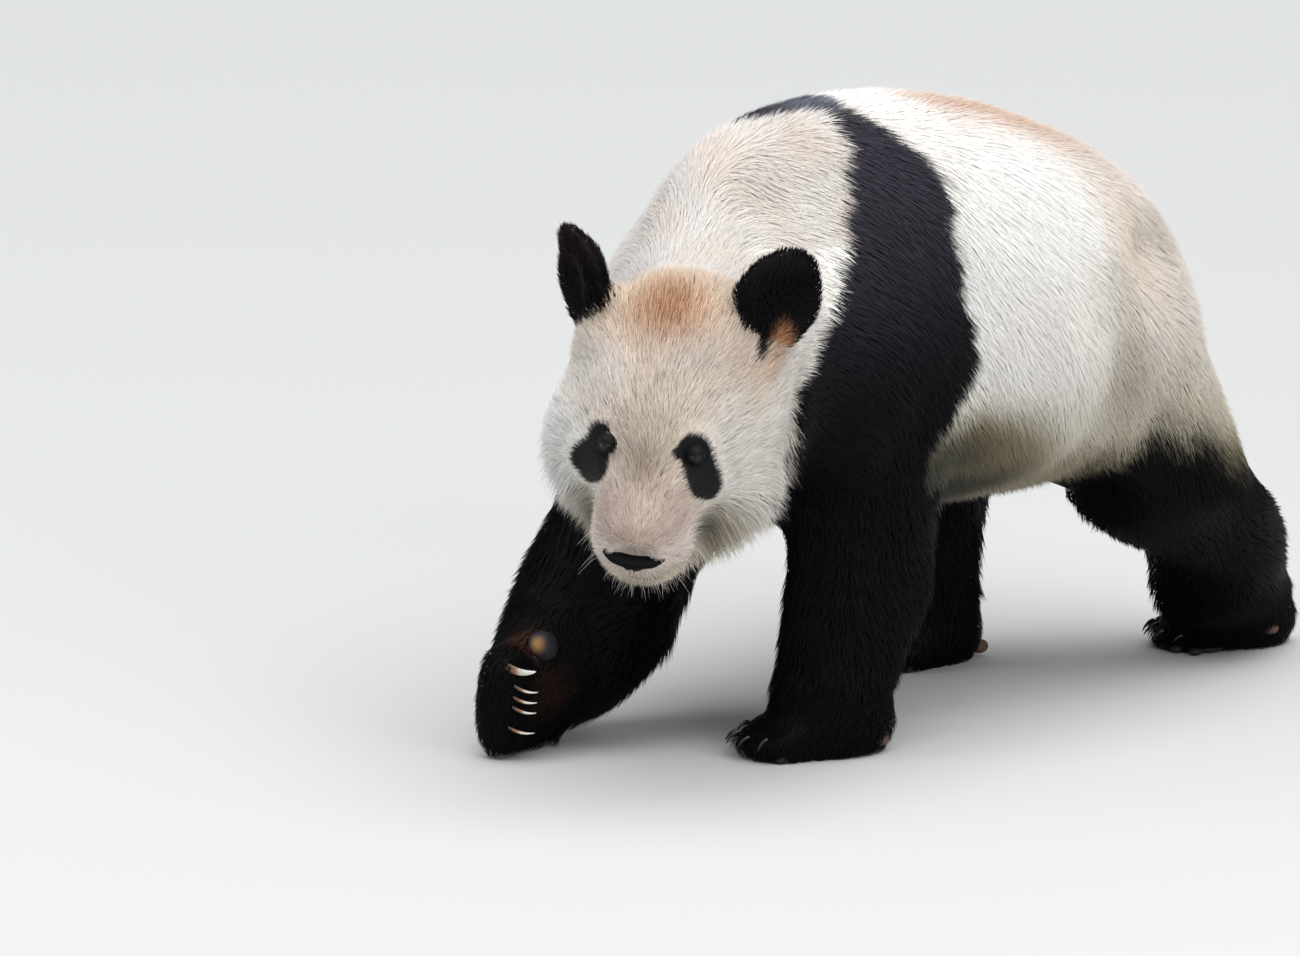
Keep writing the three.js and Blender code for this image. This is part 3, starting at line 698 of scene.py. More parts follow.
def markings_and_painted_light(points, owner, ragged):
    """Colour of the fur that shows at each point, painted light and shade included, and its share of
    black; ragged is in metres.
    """
    h = in_head(points)
    head = of_part(owner, "head", "lower_jaw") * 1.0
    speckle = np.clip(0.5 + ragged * 110, 0, 1)
    black, band, band_front = body_black(points, owner, ragged)
    white = head_white(body_white(points, owner, speckle, band_front), h, head, speckle)

    # On the head, black marks the eyes, the nape behind the left cheek, and a comma below the ear.
    patch = head * ramp(-1.2, 1.2, -eye_patch_edge(h) + ragged / MM * 0.15)
    past_cheek = h @ FACE_ACROSS - np.interp(h @ FACE_UP, NAPE_HEIGHTS, NAPE_EDGE)
    comma = near_to(h, (105, 20, 84), (11, 24, 24))
    black = np.maximum.reduce([
        black, patch,
        head * ramp(-3, 3, past_cheek + ragged / MM),
        head * ramp(0.15, 0.45, comma + 40 * ragged),
    ])

    at_withers = near_to(points, (-0.01, -0.11, 0.79), (0.06, 0.09, 0.06))
    at_ear_root = near_to(h, (120, 40, 76), (22, 36, 40))
    at_wrist = near_to(points, (-0.165, -0.475, 0.135), (0.042, 0.045, 0.036))
    at_palm = near_to(points, (-0.130, -0.470, 0.075), (0.035, 0.05, 0.06))
    dark = tinted(
        np.tile(BLACK, (len(points), 1)),
        # painted sheen: the band's black turns slate towards its top, where the light falls on it
        (SLATE, band * ramp(0.40, 0.75, points[:, 2])),
        (SLATE, 0.12 * patch * (h[:, 0] > 0)),
        # painted highlight along the ridge of the withers
        (WITHERS_HIGHLIGHT, 0.9 * band * at_withers),
        (ORANGE, of_part(owner, "ear") * 0.95 * at_ear_root),
        (RUSTY, 0.10 * of_part(owner, "ear_right") * ramp(150, 172, h @ EAR_UP)),
        (RUSTY, of_part(owner, "forepaw_right", "forearm_right") * at_wrist * (0.5 + 0.5 * speckle)),
        (PALM_BROWN, of_part(owner, "forepaw_right") * at_palm),
    )
    return tinted(white, ((0, 0, 0), black)) + dark * black[:, None], black


def shown_at(points, normals, lie, coats):
    """Where the fur that grows at a point is seen: out through the coat and some way along it."""
    return points + (normals * coats[:, [DEPTH]] * 0.7 + lie * coats[:, [LENGTH]] * 0.5) * MM


hide_shown = shown_at(hide_points, hide_normals, hide_lie, coat_here)
hide_colour, hide_black = markings_and_painted_light(hide_shown, hide_owner, np.zeros(len(hide_points)))

# Where black meets white the tufts are finer and shorter, so that the edge is soft.
at_edge = np.minimum(evened(6 * (hide_black * (1 - hide_black)), 12, 0.6), 1)
at_edge *= ~on_head[:, None]
coat_here[:, [LENGTH, GAP, WIDTH]] *= 1 - at_edge * (0.22, 0.20, 0.32)


def paint(mesh, name, colours):
    layer = mesh.color_attributes.new(name, "FLOAT_COLOR", "POINT")
    rgba = np.ones((len(colours), 4), np.float32)
    rgba[:, :3] = colours
    layer.data.foreach_set("color", rgba.ravel())


def fur_finish(name, grain, darkest, palest, **settings):
    """Fur in the colours painted on its mesh, made uneven by a fine grain, which comes with it."""
    fur = Finish(name, **settings)
    nap = fur.texture("TexNoise", **grain)
    uneven = fur.node("MapRange", **{
        "From Min": 0.3, "From Max": 0.7, "To Min": darkest, "To Max": palest})
    fur.join(nap, uneven.inputs["Value"])
    shade = fur.node("Mix", data_type="RGBA", blend_type="MULTIPLY", Factor=1.0)
    fur.join(fur.node("Attribute", attribute_name="fur_tint").outputs["Color"], shade.inputs[6])
    fur.join(uneven.outputs["Result"], shade.inputs[7])
    fur.coloured(shade.outputs[2])
    return fur, nap


# The hide under the coat is painted a little darker than the fur: painted shade deep in the coat.
UNDERFUR_SHADE = 0.96
underfur, nap = fur_finish(
    "short_underfur", {"Scale": 420.0, "Detail": 4.0, "Roughness": 0.7}, 0.84, 1.06,
    Roughness=0.85, Specular_IOR_Level=0.2)
underfur.raised(nap, 0.5, 0.0012)
paint(hide_mesh, "fur_tint", hide_colour * UNDERFUR_SHADE)
hide_mesh.polygons.foreach_set("use_smooth", np.ones(len(hide_mesh.polygons), bool))
hide_mesh.materials.append(underfur.material)

BAKE_MAP = "OFBake"
hide_mesh.uv_layers.new(name=BAKE_MAP)
for other in bpy.context.selected_objects:
    other.select_set(False)
hide.select_set(True)
bpy.context.view_layer.objects.active = hide
bpy.ops.object.mode_set(mode="EDIT")
bpy.ops.mesh.select_all(action="SELECT")
bpy.ops.uv.smart_project(angle_limit=math.radians(66), island_margin=0.002)
bpy.ops.object.mode_set(mode="OBJECT")

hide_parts(*flesh)
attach(hide, "root")

# ---------------------------------------------------------------------------------------------
# The eyes: glass eyeballs set deep in the head, dark brown with an upright pupil under a clear
# bulging front. Their lids are thick rims of bare black skin that meet the ball all round.
def surface(name, grid, material, ring_rows=False):
    """A smooth closed mesh over rows of points, each a ring. Rows of one place close as poles."""
    rows, columns = grid.shape[:2]
    spot = np.arange(rows * columns).reshape(rows, columns)
    down = np.roll(spot, -1, 0)[:rows if ring_rows else rows - 1]
    spot = spot[:len(down)]
    quads = np.stack([spot, np.roll(spot, -1, 1), np.roll(down, -1, 1), down], -1)
    mesh = bpy.data.meshes.new(name)
    mesh.from_pydata(grid.reshape(-1, 3).tolist(), [], quads.reshape(-1, 4).tolist())
    shaped = bmesh.new()
    shaped.from_mesh(mesh)
    bmesh.ops.remove_doubles(shaped, verts=shaped.verts, dist=SAME_PLACE / 2)
    bmesh.ops.recalc_face_normals(shaped, faces=shaped.faces)
    shaped.to_mesh(mesh)
    shaped.free()
    mesh.polygons.foreach_set("use_smooth", np.ones(len(mesh.polygons), bool))
    mesh.materials.append(material)
    return placed_in_scene(name, mesh)


def joined(name, objects):
    """Several objects made one piece."""
    whole = bmesh.new()
    for thing in objects:
        whole.from_mesh(thing.data)
    first = objects[0]
    whole.to_mesh(first.data)
    whole.free()
    for thing in objects[1:]:
        bpy.data.objects.remove(thing)
    first.name = first.data.name = name
    return first


def turned(columns):
    """Angles once round a ring."""
    return np.linspace(0, 2 * math.pi, columns, endpoint=False)


# Sizes in the iris are shares of the eyeball's radius.
PUPIL_WIDE, PUPIL_TALL, IRIS = 0.13, 0.30, 0.56
PUPIL_BLACK = (0.001, 0.001, 0.001, 1)
eye_glass = Finish(
    "dark_brown_glass_eye", Roughness=0.12, Specular_IOR_Level=0.15, Coat_Weight=0.30, Coat_Roughness=0.02)
compute = eye_glass.computed
gaze_place = eye_glass.node("Attribute", attribute_name="gaze").outputs["Vector"]
place = eye_glass.node("SeparateXYZ")
eye_glass.join(gaze_place, place.inputs[0])
across, upward = place.outputs[0], place.outputs[1]
from_middle = compute("SQRT", compute(
    "ADD", compute("MULTIPLY", across, across), compute("MULTIPLY", upward, upward)))
in_pupil = compute("ADD", *(
    compute("POWER", compute("DIVIDE", compute("ABSOLUTE", value), half), 2.0)
    for value, half in ((across, PUPIL_WIDE), (upward, PUPIL_TALL))))
streaks = eye_glass.node("TexNoise", Scale=9.0, Detail=3.0)
eye_glass.join(gaze_place, streaks.inputs["Vector"])
streaky = compute("MULTIPLY", compute("SUBTRACT", streaks.outputs["Fac"], 0.5), 0.12)
iris_colour = eye_glass.graded(
    compute("ADD", from_middle, streaky),
    (0.0, (0.010, 0.005, 0.003)), (0.36, (0.013, 0.006, 0.004)), (IRIS - 0.06, (0.006, 0.003, 0.002)),
    (IRIS, (0.003, 0.0025, 0.0025)), (0.9, (0.012, 0.009, 0.008)))
pupil_edge = eye_glass.node("Mix", data_type="RGBA")
eye_glass.join(compute("LESS_THAN", in_pupil, 1.0), pupil_edge.inputs[0])
eye_glass.join(iris_colour, pupil_edge.inputs[6])
pupil_edge.inputs[7].default_value = PUPIL_BLACK
eye_glass.coloured(pupil_edge.outputs[2])

lid_skin = Finish("bare_black_lid_skin", Roughness=0.5, Specular_IOR_Level=0.12)
wrinkles = lid_skin.texture("TexNoise", Scale=700.0, Detail=4.0)
lid_skin.raised(wrinkles, 0.35, 0.0006)
lid_skin.coloured(lid_skin.graded(
    wrinkles, (0.3, (0.0025, 0.0023, 0.0025)), (0.7, (0.006, 0.0058, 0.0065))))

hide_tree = BVHTree.FromPolygons(hide_points.tolist(), [list(p.vertices) for p in hide_mesh.polygons])
BALL_ROWS, BALL_COLUMNS, LID_COLUMNS = 33, 48, 56
CORNEA_BULGE, CORNEA_WIDE = 0.9, math.radians(36)
APERTURE_WIDE, APERTURE_UP, APERTURE_DOWN = 0.72, 0.34, 0.38
LID_ROWS = (
    # share of the way out to the rim, distance from the middle of the eyeball (mm)
    (1.00, 11.45), (1.00, 12.0), (1.10, 12.5), (1.45, LID_RADIUS), (1.80, LID_RADIUS),
)
# Outside the rim the lid runs on over the hide: how far out, and how high above it (mm).
LID_SKIRT = ((13.2, 0.4), (16, -0.6), (19, -2.8), (16, -6.0))
LID_BACK = 10.6
lids = []
for side, (eye_x, eye_z, gaze) in eye_axes.items():
    centre = eye_centre[side]
    polar, angle = np.linspace(0, math.pi, BALL_ROWS), turned(BALL_COLUMNS)
    bulge = CORNEA_BULGE * np.maximum(1 - (polar / CORNEA_WIDE) ** 2, 0)
    directions = (np.cos(polar)[:, None, None] * gaze + np.sin(polar)[:, None, None] * (
        np.cos(angle)[None, :, None] * eye_x + np.sin(angle)[None, :, None] * eye_z))
    ball_grid = centre + directions * (EYE_RADIUS + bulge)[:, None, None] * MM
    ball = surface("eyeball_" + side, ball_grid, eye_glass.material)
    looked = unit(array_of(ball.data.vertices, "co", 3) - centre)
    gaze_layer = ball.data.attributes.new("gaze", "FLOAT_VECTOR", "POINT")
    gaze_layer.data.foreach_set("vector", np.stack(
        [looked @ eye_x, looked @ eye_z, looked @ gaze], 1).astype(np.float32).ravel())
    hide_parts("eye_" + side)
    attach(ball, "root")

    angle = turned(LID_COLUMNS)
    open_up = np.where(np.sin(angle) > 0, APERTURE_UP, APERTURE_DOWN)
    rim = np.stack([APERTURE_WIDE * np.cos(angle), open_up * np.sin(angle)], 1)
    rows = []
    for out, radius in LID_ROWS:
        flat = rim + (unit(rim) * 0.95 - rim) * (out - 1)
        depth = np.sqrt(np.maximum(1 - np.sum(flat ** 2, 1), 0.02))
        rows.append(centre + radius * MM * (
            flat[:, :1] * eye_x + flat[:, 1:] * eye_z + depth[:, None] * gaze))
    for reach, above in LID_SKIRT:
        ring = []
        for way in unit(rim) @ np.stack([eye_x, eye_z]):
            hit = hide_tree.ray_cast(
                Vector(centre + way * reach * MM + gaze * 40 * MM), Vector(-gaze), 0.12)
            ring.append(np.array(hit[0]) + gaze * above * MM if hit[0] else centre + way * reach * MM)
        rows.append(np.array(ring))
    rows.append(centre + LID_BACK * MM * (rim[:, :1] * eye_x + rim[:, 1:] * eye_z + 0.7 * gaze))
    lids.append(surface("lid_" + side, np.array(rows), lid_skin.material, ring_rows=True))
eyelids = joined("eyelids", lids)
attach(eyelids, "root")

# ---------------------------------------------------------------------------------------------
# The nose: one wide pad of bare black skin, damp and finely pebbled, with two comma nostrils and
# a groove down its middle that runs on into the thin black edge of the lips.
nose_skin = Finish("damp_pebbled_nose_skin", Roughness=0.42, Specular_IOR_Level=0.04)
pebbles = nose_skin.texture("TexVoronoi", "Distance", Scale=1100.0)
nose_skin.raised(pebbles, 0.5, 0.0004)
nose_skin.coloured(nose_skin.graded(
    pebbles, (0.0, (0.006, 0.0055, 0.006)), (0.8, (0.002, 0.0019, 0.002))))

# Sizes in mm: the pad's middle in the head's directions, its halves, how far it stands out and
# sinks in, and how far its two sides are swept back and up.
NOSE_PAD, NOSE_HALF_WIDE, NOSE_HALF_TALL = (-1.2, -226.2, -63.2), 37, 7.0
NOSE_FRONT, NOSE_BACK, NOSE_SIDES_BACK, NOSE_SIDES_UP = 5.0, 14, 11, 7
NOSE_ROWS, NOSE_COLUMNS = 65, 112
NOSTRIL_APART, NOSTRIL_UP, NOSTRIL_WIDE, NOSTRIL_TALL, NOSTRIL_DEEP = 15.5, -3, 6.5, 3.4, 7.0
PHILTRUM_WIDE, PHILTRUM_DEEP = 2.2, 3.0


def ball_of(rows, columns, squareness):
    """Points of a ball of radius 1, as rows and columns, with its sides squared off a little."""
    polar, angle = np.linspace(0, math.pi, rows)[:, None], turned(columns)[None, :]
    ball = np.stack([
        np.sin(polar) * np.cos(angle), np.sin(polar) * np.sin(angle), np.cos(polar) * np.ones_like(angle),
    ], -1)
    return np.abs(ball) ** squareness * np.sign(ball)


pad = ball_of(NOSE_ROWS, NOSE_COLUMNS, 0.88)
across, up, out = pad[..., 0] * NOSE_HALF_WIDE, pad[..., 1] * NOSE_HALF_TALL, pad[..., 2]
bend = (across / NOSE_HALF_WIDE) ** 2
up = up * (1 - 0.5 * bend)
faces_out = np.clip(out * 4, 0, 1)
out = np.where(out > 0, out * NOSE_FRONT, out * NOSE_BACK)
for sign in (-1, 1):
    sideways = across * sign - NOSTRIL_APART
    comma = (up - NOSTRIL_UP + 0.28 * sideways) / NOSTRIL_TALL
    out = out - NOSTRIL_DEEP * np.exp(-((sideways / NOSTRIL_WIDE) ** 2 + comma ** 2)) * faces_out
out = out - PHILTRUM_DEEP * np.exp(-(across / PHILTRUM_WIDE) ** 2) * ramp(3, -3, up) * faces_out
pad = np.stack([
    across, -0.86 * out - 0.5 * up + NOSE_SIDES_BACK * bend, -0.5 * out + 0.86 * up + NOSE_SIDES_UP * bend,
], -1)
nose_grid = from_head(pad.reshape(-1, 3) + NOSE_PAD).reshape(pad.shape)
nose = surface("nose_pad", nose_grid, nose_skin.material)
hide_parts("nose")
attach(nose, "root")


def on_hide(h, above):
    """The place on the hide that is nearest to a point of the head, raised off it, in mm."""
    hit, normal = hide_tree.find_nearest(Vector(from_head(h)))[:2]
    return np.array(hit + normal * above * MM)


def along(points, count):
    """Evenly spaced places on a smooth curve through a few points."""
    points = np.array(points, float)
    at = np.linspace(0, 1, len(points))
    fine = np.linspace(0, 1, count)
    curve = np.stack([np.interp(fine, at, column) for column in points.T], 1)
    for _ in range(count // 3):
        curve[1:-1] = (curve[:-2] + 2 * curve[1:-1] + curve[2:]) / 4
    return curve


def bead(name, path, radii, material, columns=10):
    """A tapered round bead along a path."""
    ahead = unit(np.gradient(path, axis=0))
    side = unit(np.cross(ahead, head_z + 0.3 * head_y))
    top = np.cross(side, ahead)
    angle = turned(columns)[None, :, None]
    grid = path[:, None] + np.array(radii)[:, None, None] * MM * (
        np.cos(angle) * side[:, None] + np.sin(angle) * top[:, None])
    grid = np.concatenate([path[:1, None].repeat(columns, 1), grid, path[-1:, None].repeat(columns, 1)])
    return surface(name, grid, material)


# The groove from nose to lip, and the edge of the lips from its middle to a corner of the mouth.
PHILTRUM = ((0, -230, -66), (0, -227, -78), (0, -222, -89))
LIP = ((0, -222, -89), (22, -214, -95), (42, -190, -95), (54, -158, -87), (60, -132, -76))
PHILTRUM_BEADS, LIP_BEADS = 12, 40
philtrum = np.array([on_hide(p, 0.0) for p in along(PHILTRUM, PHILTRUM_BEADS)])
lip_beads = [bead("philtrum", philtrum, np.full(PHILTRUM_BEADS, 0.9), lid_skin.material)]
for sign in (-1, 1):
    mouth = np.array([on_hide(p, 0.4) for p in along(np.array(LIP) * (sign, 1, 1), LIP_BEADS)])
    lip_beads.append(bead("lip", mouth, np.linspace(1.6, 0.8, LIP_BEADS), lid_skin.material))
mouth_edge = joined("mouth_edge", lip_beads)
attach(mouth_edge, "root")

# ---------------------------------------------------------------------------------------------
# The claws: curved horn, five to a foot, flattened from side to side, with roots sunk in the toes
# under the fur. On the feet that stand they are short and dark all over; on the raised forepaw
# they are long, dark brown where they leave the toe and ivory to the tip.
claw_horn = Finish("ivory_claw_horn", Roughness=0.34)
grain = claw_horn.texture("TexNoise", Scale=420.0, Detail=3.0)
grainy = claw_horn.computed("MULTIPLY", claw_horn.computed("SUBTRACT", grain, 0.5), 0.35)
along_claw = claw_horn.node("Attribute", attribute_name="along").outputs["Fac"]
claw_horn.coloured(claw_horn.graded(
    claw_horn.computed("ADD", along_claw, grainy),
    (0.0, (0.012, 0.008, 0.006)), (0.12, (0.050, 0.024, 0.012)), (0.34, (0.22, 0.105, 0.045)),
    (0.52, (0.55, 0.50, 0.42)), (1.0, (0.72, 0.73, 0.74))))
claw_horn.raised(grain, 0.25, 0.0004)

CLAW_ROWS, CLAW_COLUMNS, CLAW_HALF_WIDE, CLAW_HALF_TALL = 20, 14, 2.4, 3.4
CLAW_SUNK = 9 * MM
RAISED_FOOT, TOP_DIGIT = "forepaw_right", "5"
STANDING_LENGTH, STANDING_BOW, RAISED_BOW = 0.64, 0.16, -0.10
claws = {}
for name in [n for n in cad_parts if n.startswith("claw_")]:
    foot, digit = name[len("claw_"):].rsplit("_", 1)
    spots = array_of(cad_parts[name].data.vertices, "co", 3)
    spots = np.unique(spots.round(6), axis=0).astype(float)
    from_foot = np.linalg.norm(spots - middle(foot), axis=1)
    root = spots[from_foot < np.quantile(from_foot, 0.3)].mean(0)
    tip = spots[np.argmax(np.linalg.norm(spots - root, axis=1))]
    way = unit(tip - root)
    raised = foot == RAISED_FOOT
    if raised:
        hidden, shift, broad = (0.10, (-0.006, 0, 0.013), 1.7) if digit == TOP_DIGIT else (
            0.30, (0, 0, 0.013), 0.66)
        root = root + (tip - root) * hidden
        root, tip = root + shift, tip + shift
        belly = np.array((0, 0, -1.0))
    else:
        broad = 0.9
        tip = root + (tip - root) * STANDING_LENGTH
        belly = unit(np.cross(way, (1.0, 0, 0)))
    belly = unit(belly - way * (belly @ way))
    if belly[2] > 0:
        belly = -belly
    side = np.cross(way, belly)
    sunk_root = root - way * CLAW_SUNK
    t = np.linspace(0, 1, CLAW_ROWS)
    length = np.linalg.norm(tip - root) + CLAW_SUNK
    bow = (RAISED_BOW if raised else STANDING_BOW) * length * 4 * t * (1 - t)
    middle_line = sunk_root + way * (t * length)[:, None] - belly * bow[:, None]
    thick = np.sqrt(np.clip(1 - t ** 2.2, 0.0, 1)) * (1 - 0.35 * t)
    angle = turned(CLAW_COLUMNS)[None, :, None]
    grid = middle_line[:, None] + thick[:, None, None] * MM * (
        np.cos(angle) * side * CLAW_HALF_WIDE + np.sin(angle) * belly * CLAW_HALF_TALL * broad)
    claw = surface(name + "_horn", grid, claw_horn.material)
    share = np.clip((array_of(claw.data.vertices, "co", 3) - sunk_root) @ way / length, 0, 1)
    layer = claw.data.attributes.new("along", "FLOAT", "POINT")
    layer.data.foreach_set("value", (share if raised else 0.2 * share - 0.2).astype(np.float32))
    claws.setdefault(foot, []).append((name, claw))
for foot, members in claws.items():
    piece = joined("claws_" + foot, [claw for _, claw in members])
    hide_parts(*[name for name, _ in members])
    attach(piece, "root")

# ---------------------------------------------------------------------------------------------
# The bare pads: thick grey-black skin, cracked and matt. The raised forepaw shows the round pad of
# its wrist, rubbed brown in front; under each foot that stands are a broad sole pad, five toe pads
# and a small pink heel pad.
pad_skin = Finish("cracked_pad_skin", Roughness=0.60, Specular_IOR_Level=0.25)
cracks = pad_skin.texture("TexVoronoi", "Distance", Scale=260.0, feature="DISTANCE_TO_EDGE")
pad_skin.coloured(pad_skin.node("Attribute", attribute_name="skin_tint").outputs["Color"])
pad_skin.raised(pad_skin.computed("MINIMUM", cracks, 0.12), 0.6, 0.0008)

DARK_PAD, RUBBED_PAD, PINK_PAD = (0.012, 0.012, 0.016), (0.33, 0.17, 0.065), (0.10, 0.055, 0.042)
WRIST_SHIFT, WRIST_RADII = (-0.004, -0.003, 0.0), (19, 17, 18)
LOBE_SHIFT, LOBE_RADII = (-0.006, -0.011, -0.016), (8, 7, 8)
RUBBED_SHIFT, RUBBED_REACH = (0.0034, -0.0151, 0.0044), 0.015


def cushion(name, centre, radii, colour=DARK_PAD, rubbed_at=(0, 0, -1)):
    """A plump rounded pad of one colour, which may be rubbed brown about one place."""
    grid = np.asarray(centre) + ball_of(19, 36, 0.9) * np.array(radii) * MM
    pad = surface(name, grid, pad_skin.material)
    points = array_of(pad.data.vertices, "co", 3)
    rubbed = near_to(points, rubbed_at, RUBBED_REACH)
    paint(pad.data, "skin_tint", tinted(np.tile(colour, (len(points), 1)), (RUBBED_PAD, rubbed)))
    return pad


wrist_middle = middle("thumb_pad_right") + WRIST_SHIFT
wrist = joined("wrist_pad", [
    cushion("wrist_pad", wrist_middle, WRIST_RADII, rubbed_at=wrist_middle + RUBBED_SHIFT),
    cushion("wrist_lobe", wrist_middle + LOBE_SHIFT, LOBE_RADII),
])
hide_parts("thumb_pad_right")
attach(wrist, "root")

# Where the heel pad of each standing foot shows (m), and the pads' radii (mm).
HEELS = {
    "forepaw_left": (0.162, -0.192, 0.018),
    "hindfoot_left": (0.160, 0.636, 0.030),
    "hindfoot_right": (-0.107, 0.360, 0.013),
}
SOLE_RADII, HEEL_RADII, TOE_RADII = (28, 24, 5), (10, 12, 9), (8, 9, 5)
SOLE_BEHIND_CLAWS, TOE_BEHIND_CLAWS, PAD_HEIGHT = 66, 28, 0.0055
for foot, heel in HEELS.items():
    claw_middles = [middle(n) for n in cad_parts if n.startswith("claw_" + foot)]
    toes = np.mean(claw_middles, 0)
    backward = unit((middle(foot) - toes) * (1, 1, 0))
    sole_pads = [
        cushion("sole", (*(toes + backward * SOLE_BEHIND_CLAWS * MM)[:2], PAD_HEIGHT), SOLE_RADII),
        cushion("heel", heel, HEEL_RADII, PINK_PAD),
    ]
    for claw_middle in claw_middles:
        toe = (claw_middle + backward * TOE_BEHIND_CLAWS * MM)[:2]
        sole_pads.append(cushion("toe", (*toe, PAD_HEIGHT), TOE_RADII))
    sole_piece = joined("pads_" + foot, sole_pads)
    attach(sole_piece, "root")

# ---------------------------------------------------------------------------------------------
# The whiskers: stiff pale hairs that stand out sideways from the lips and hang from the chin.
# Each tapers from a root sunk 1 mm in the hide. Seats and lengths are in mm.
whisker_hair = Finish("pale_whisker_hair", Roughness=0.5)
whisker_hair.coloured(whisker_hair.graded(
    whisker_hair.texture("TexNoise", Scale=600.0, Detail=2.0),
    (0.35, (0.62, 0.58, 0.50)), (0.65, (0.80, 0.77, 0.72))))

WHISKERS, LIP_WHISKERS, WHISKER_ROWS, WHISKER_RADIUS = 124, 18, 9, 0.20
draw = np.random.default_rng(31)
hairs = []
for n in range(WHISKERS):
    sign = (-1, 1)[n % 2]
    if n < LIP_WHISKERS:
        seat = (sign * 44, draw.uniform(-212, -150), draw.uniform(-92, -55))
        way, long = (0.9 * sign, draw.normal(-0.1, 0.3), draw.normal(-0.75, 0.2)), draw.uniform(18, 42)
    else:
        seat = (sign * draw.uniform(2, 46), draw.uniform(-222, -150), -100)
        way, long = (0.35 * sign + draw.normal(0, 0.3), draw.normal(-0.1, 0.3), -1), draw.uniform(10, 24)
    t = np.linspace(0, 1, WHISKER_ROWS)[:, None]
    path = on_hide(seat, -1) + long * MM * (unit(np.array(way)) @ head_axes * t + (0, 0, -0.25) * t ** 2)
    hairs.append(bead("hair", path, WHISKER_RADIUS * (1 - 0.8 * t[:, 0]), whisker_hair.material, 4))
whiskers = joined("whiskers", hairs)
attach(whiskers, "root")

# ---------------------------------------------------------------------------------------------
# The coat: dense straight fur in fine tufts. On ears, black shoulders, black legs and feet each is a thin
# closed spindle that leaves the skin, bends over and lies along the body; on the head and the white of
# neck, trunk and thighs each is a straight spike that leans along it. Tufts gather to a point in locks,
# loosely on the trunk and more on the legs. It is shortest on muzzle, ears and feet.
MOST_TRIANGLES = 196000
hide_mesh.calc_loop_triangles()
corners = array_of(hide_mesh.loop_triangles, "vertices", 3, np.int32)
corner_loops = array_of(hide_mesh.loop_triangles, "loops", 3, np.int32)
bake_spots = array_of(hide_mesh.uv_layers[BAKE_MAP].uv, "vector", 2)
edge_a, edge_b = (hide_points[corners[:, n]] - hide_points[corners[:, 0]] for n in (1, 2))
corner_area = np.linalg.norm(np.cross(edge_a, edge_b), axis=1) / 2
corner_owner = hide_owner[corners[:, 0]]
corner_black = hide_black[corners].mean(1)
corner_sole = sole[corners].mean(1)

STRANDS = {"Scale": 900.0, "Detail": 2.0}
white_fur, _ = fur_finish(
    "cream_white_fur", STRANDS, 0.86, 1.08, Roughness=0.75, Specular_IOR_Level=0.25,
    Sheen_Weight=0.10, Sheen_Roughness=0.5, Sheen_Tint=(1.0, 0.97, 0.92, 1))
black_fur, _ = fur_finish(
    "black_fur", STRANDS, 0.86, 1.08, Roughness=0.42, Specular_IOR_Level=0.055,
    Sheen_Weight=0.006, Sheen_Roughness=0.5, Sheen_Tint=(0.75, 0.82, 1.0, 1))


# How deep a tuft's root is sunk (mm), how high over the floor it stays (mm), where along it its
# waist is, how much steeper it leaves the skin and how much flatter it ends than it stands as a
# whole, and how thick it is there to its width. BAKE_PATCH is its width on the coat's bake map.
TUFT_SUNK, TUFT_CLEAR, WAIST_AT, STEEPER, FLATTER = 1.2, 0.3, 0.42, 1.25, 0.8
WAIST_THICK, SPIKE_THICK, BAKE_PATCH = 0.4, 0.8, 0.003
# Large primes, which give each cell of space a number of its own.
CELL_PRIMES = np.array((73856093, 19349663, 83492791))


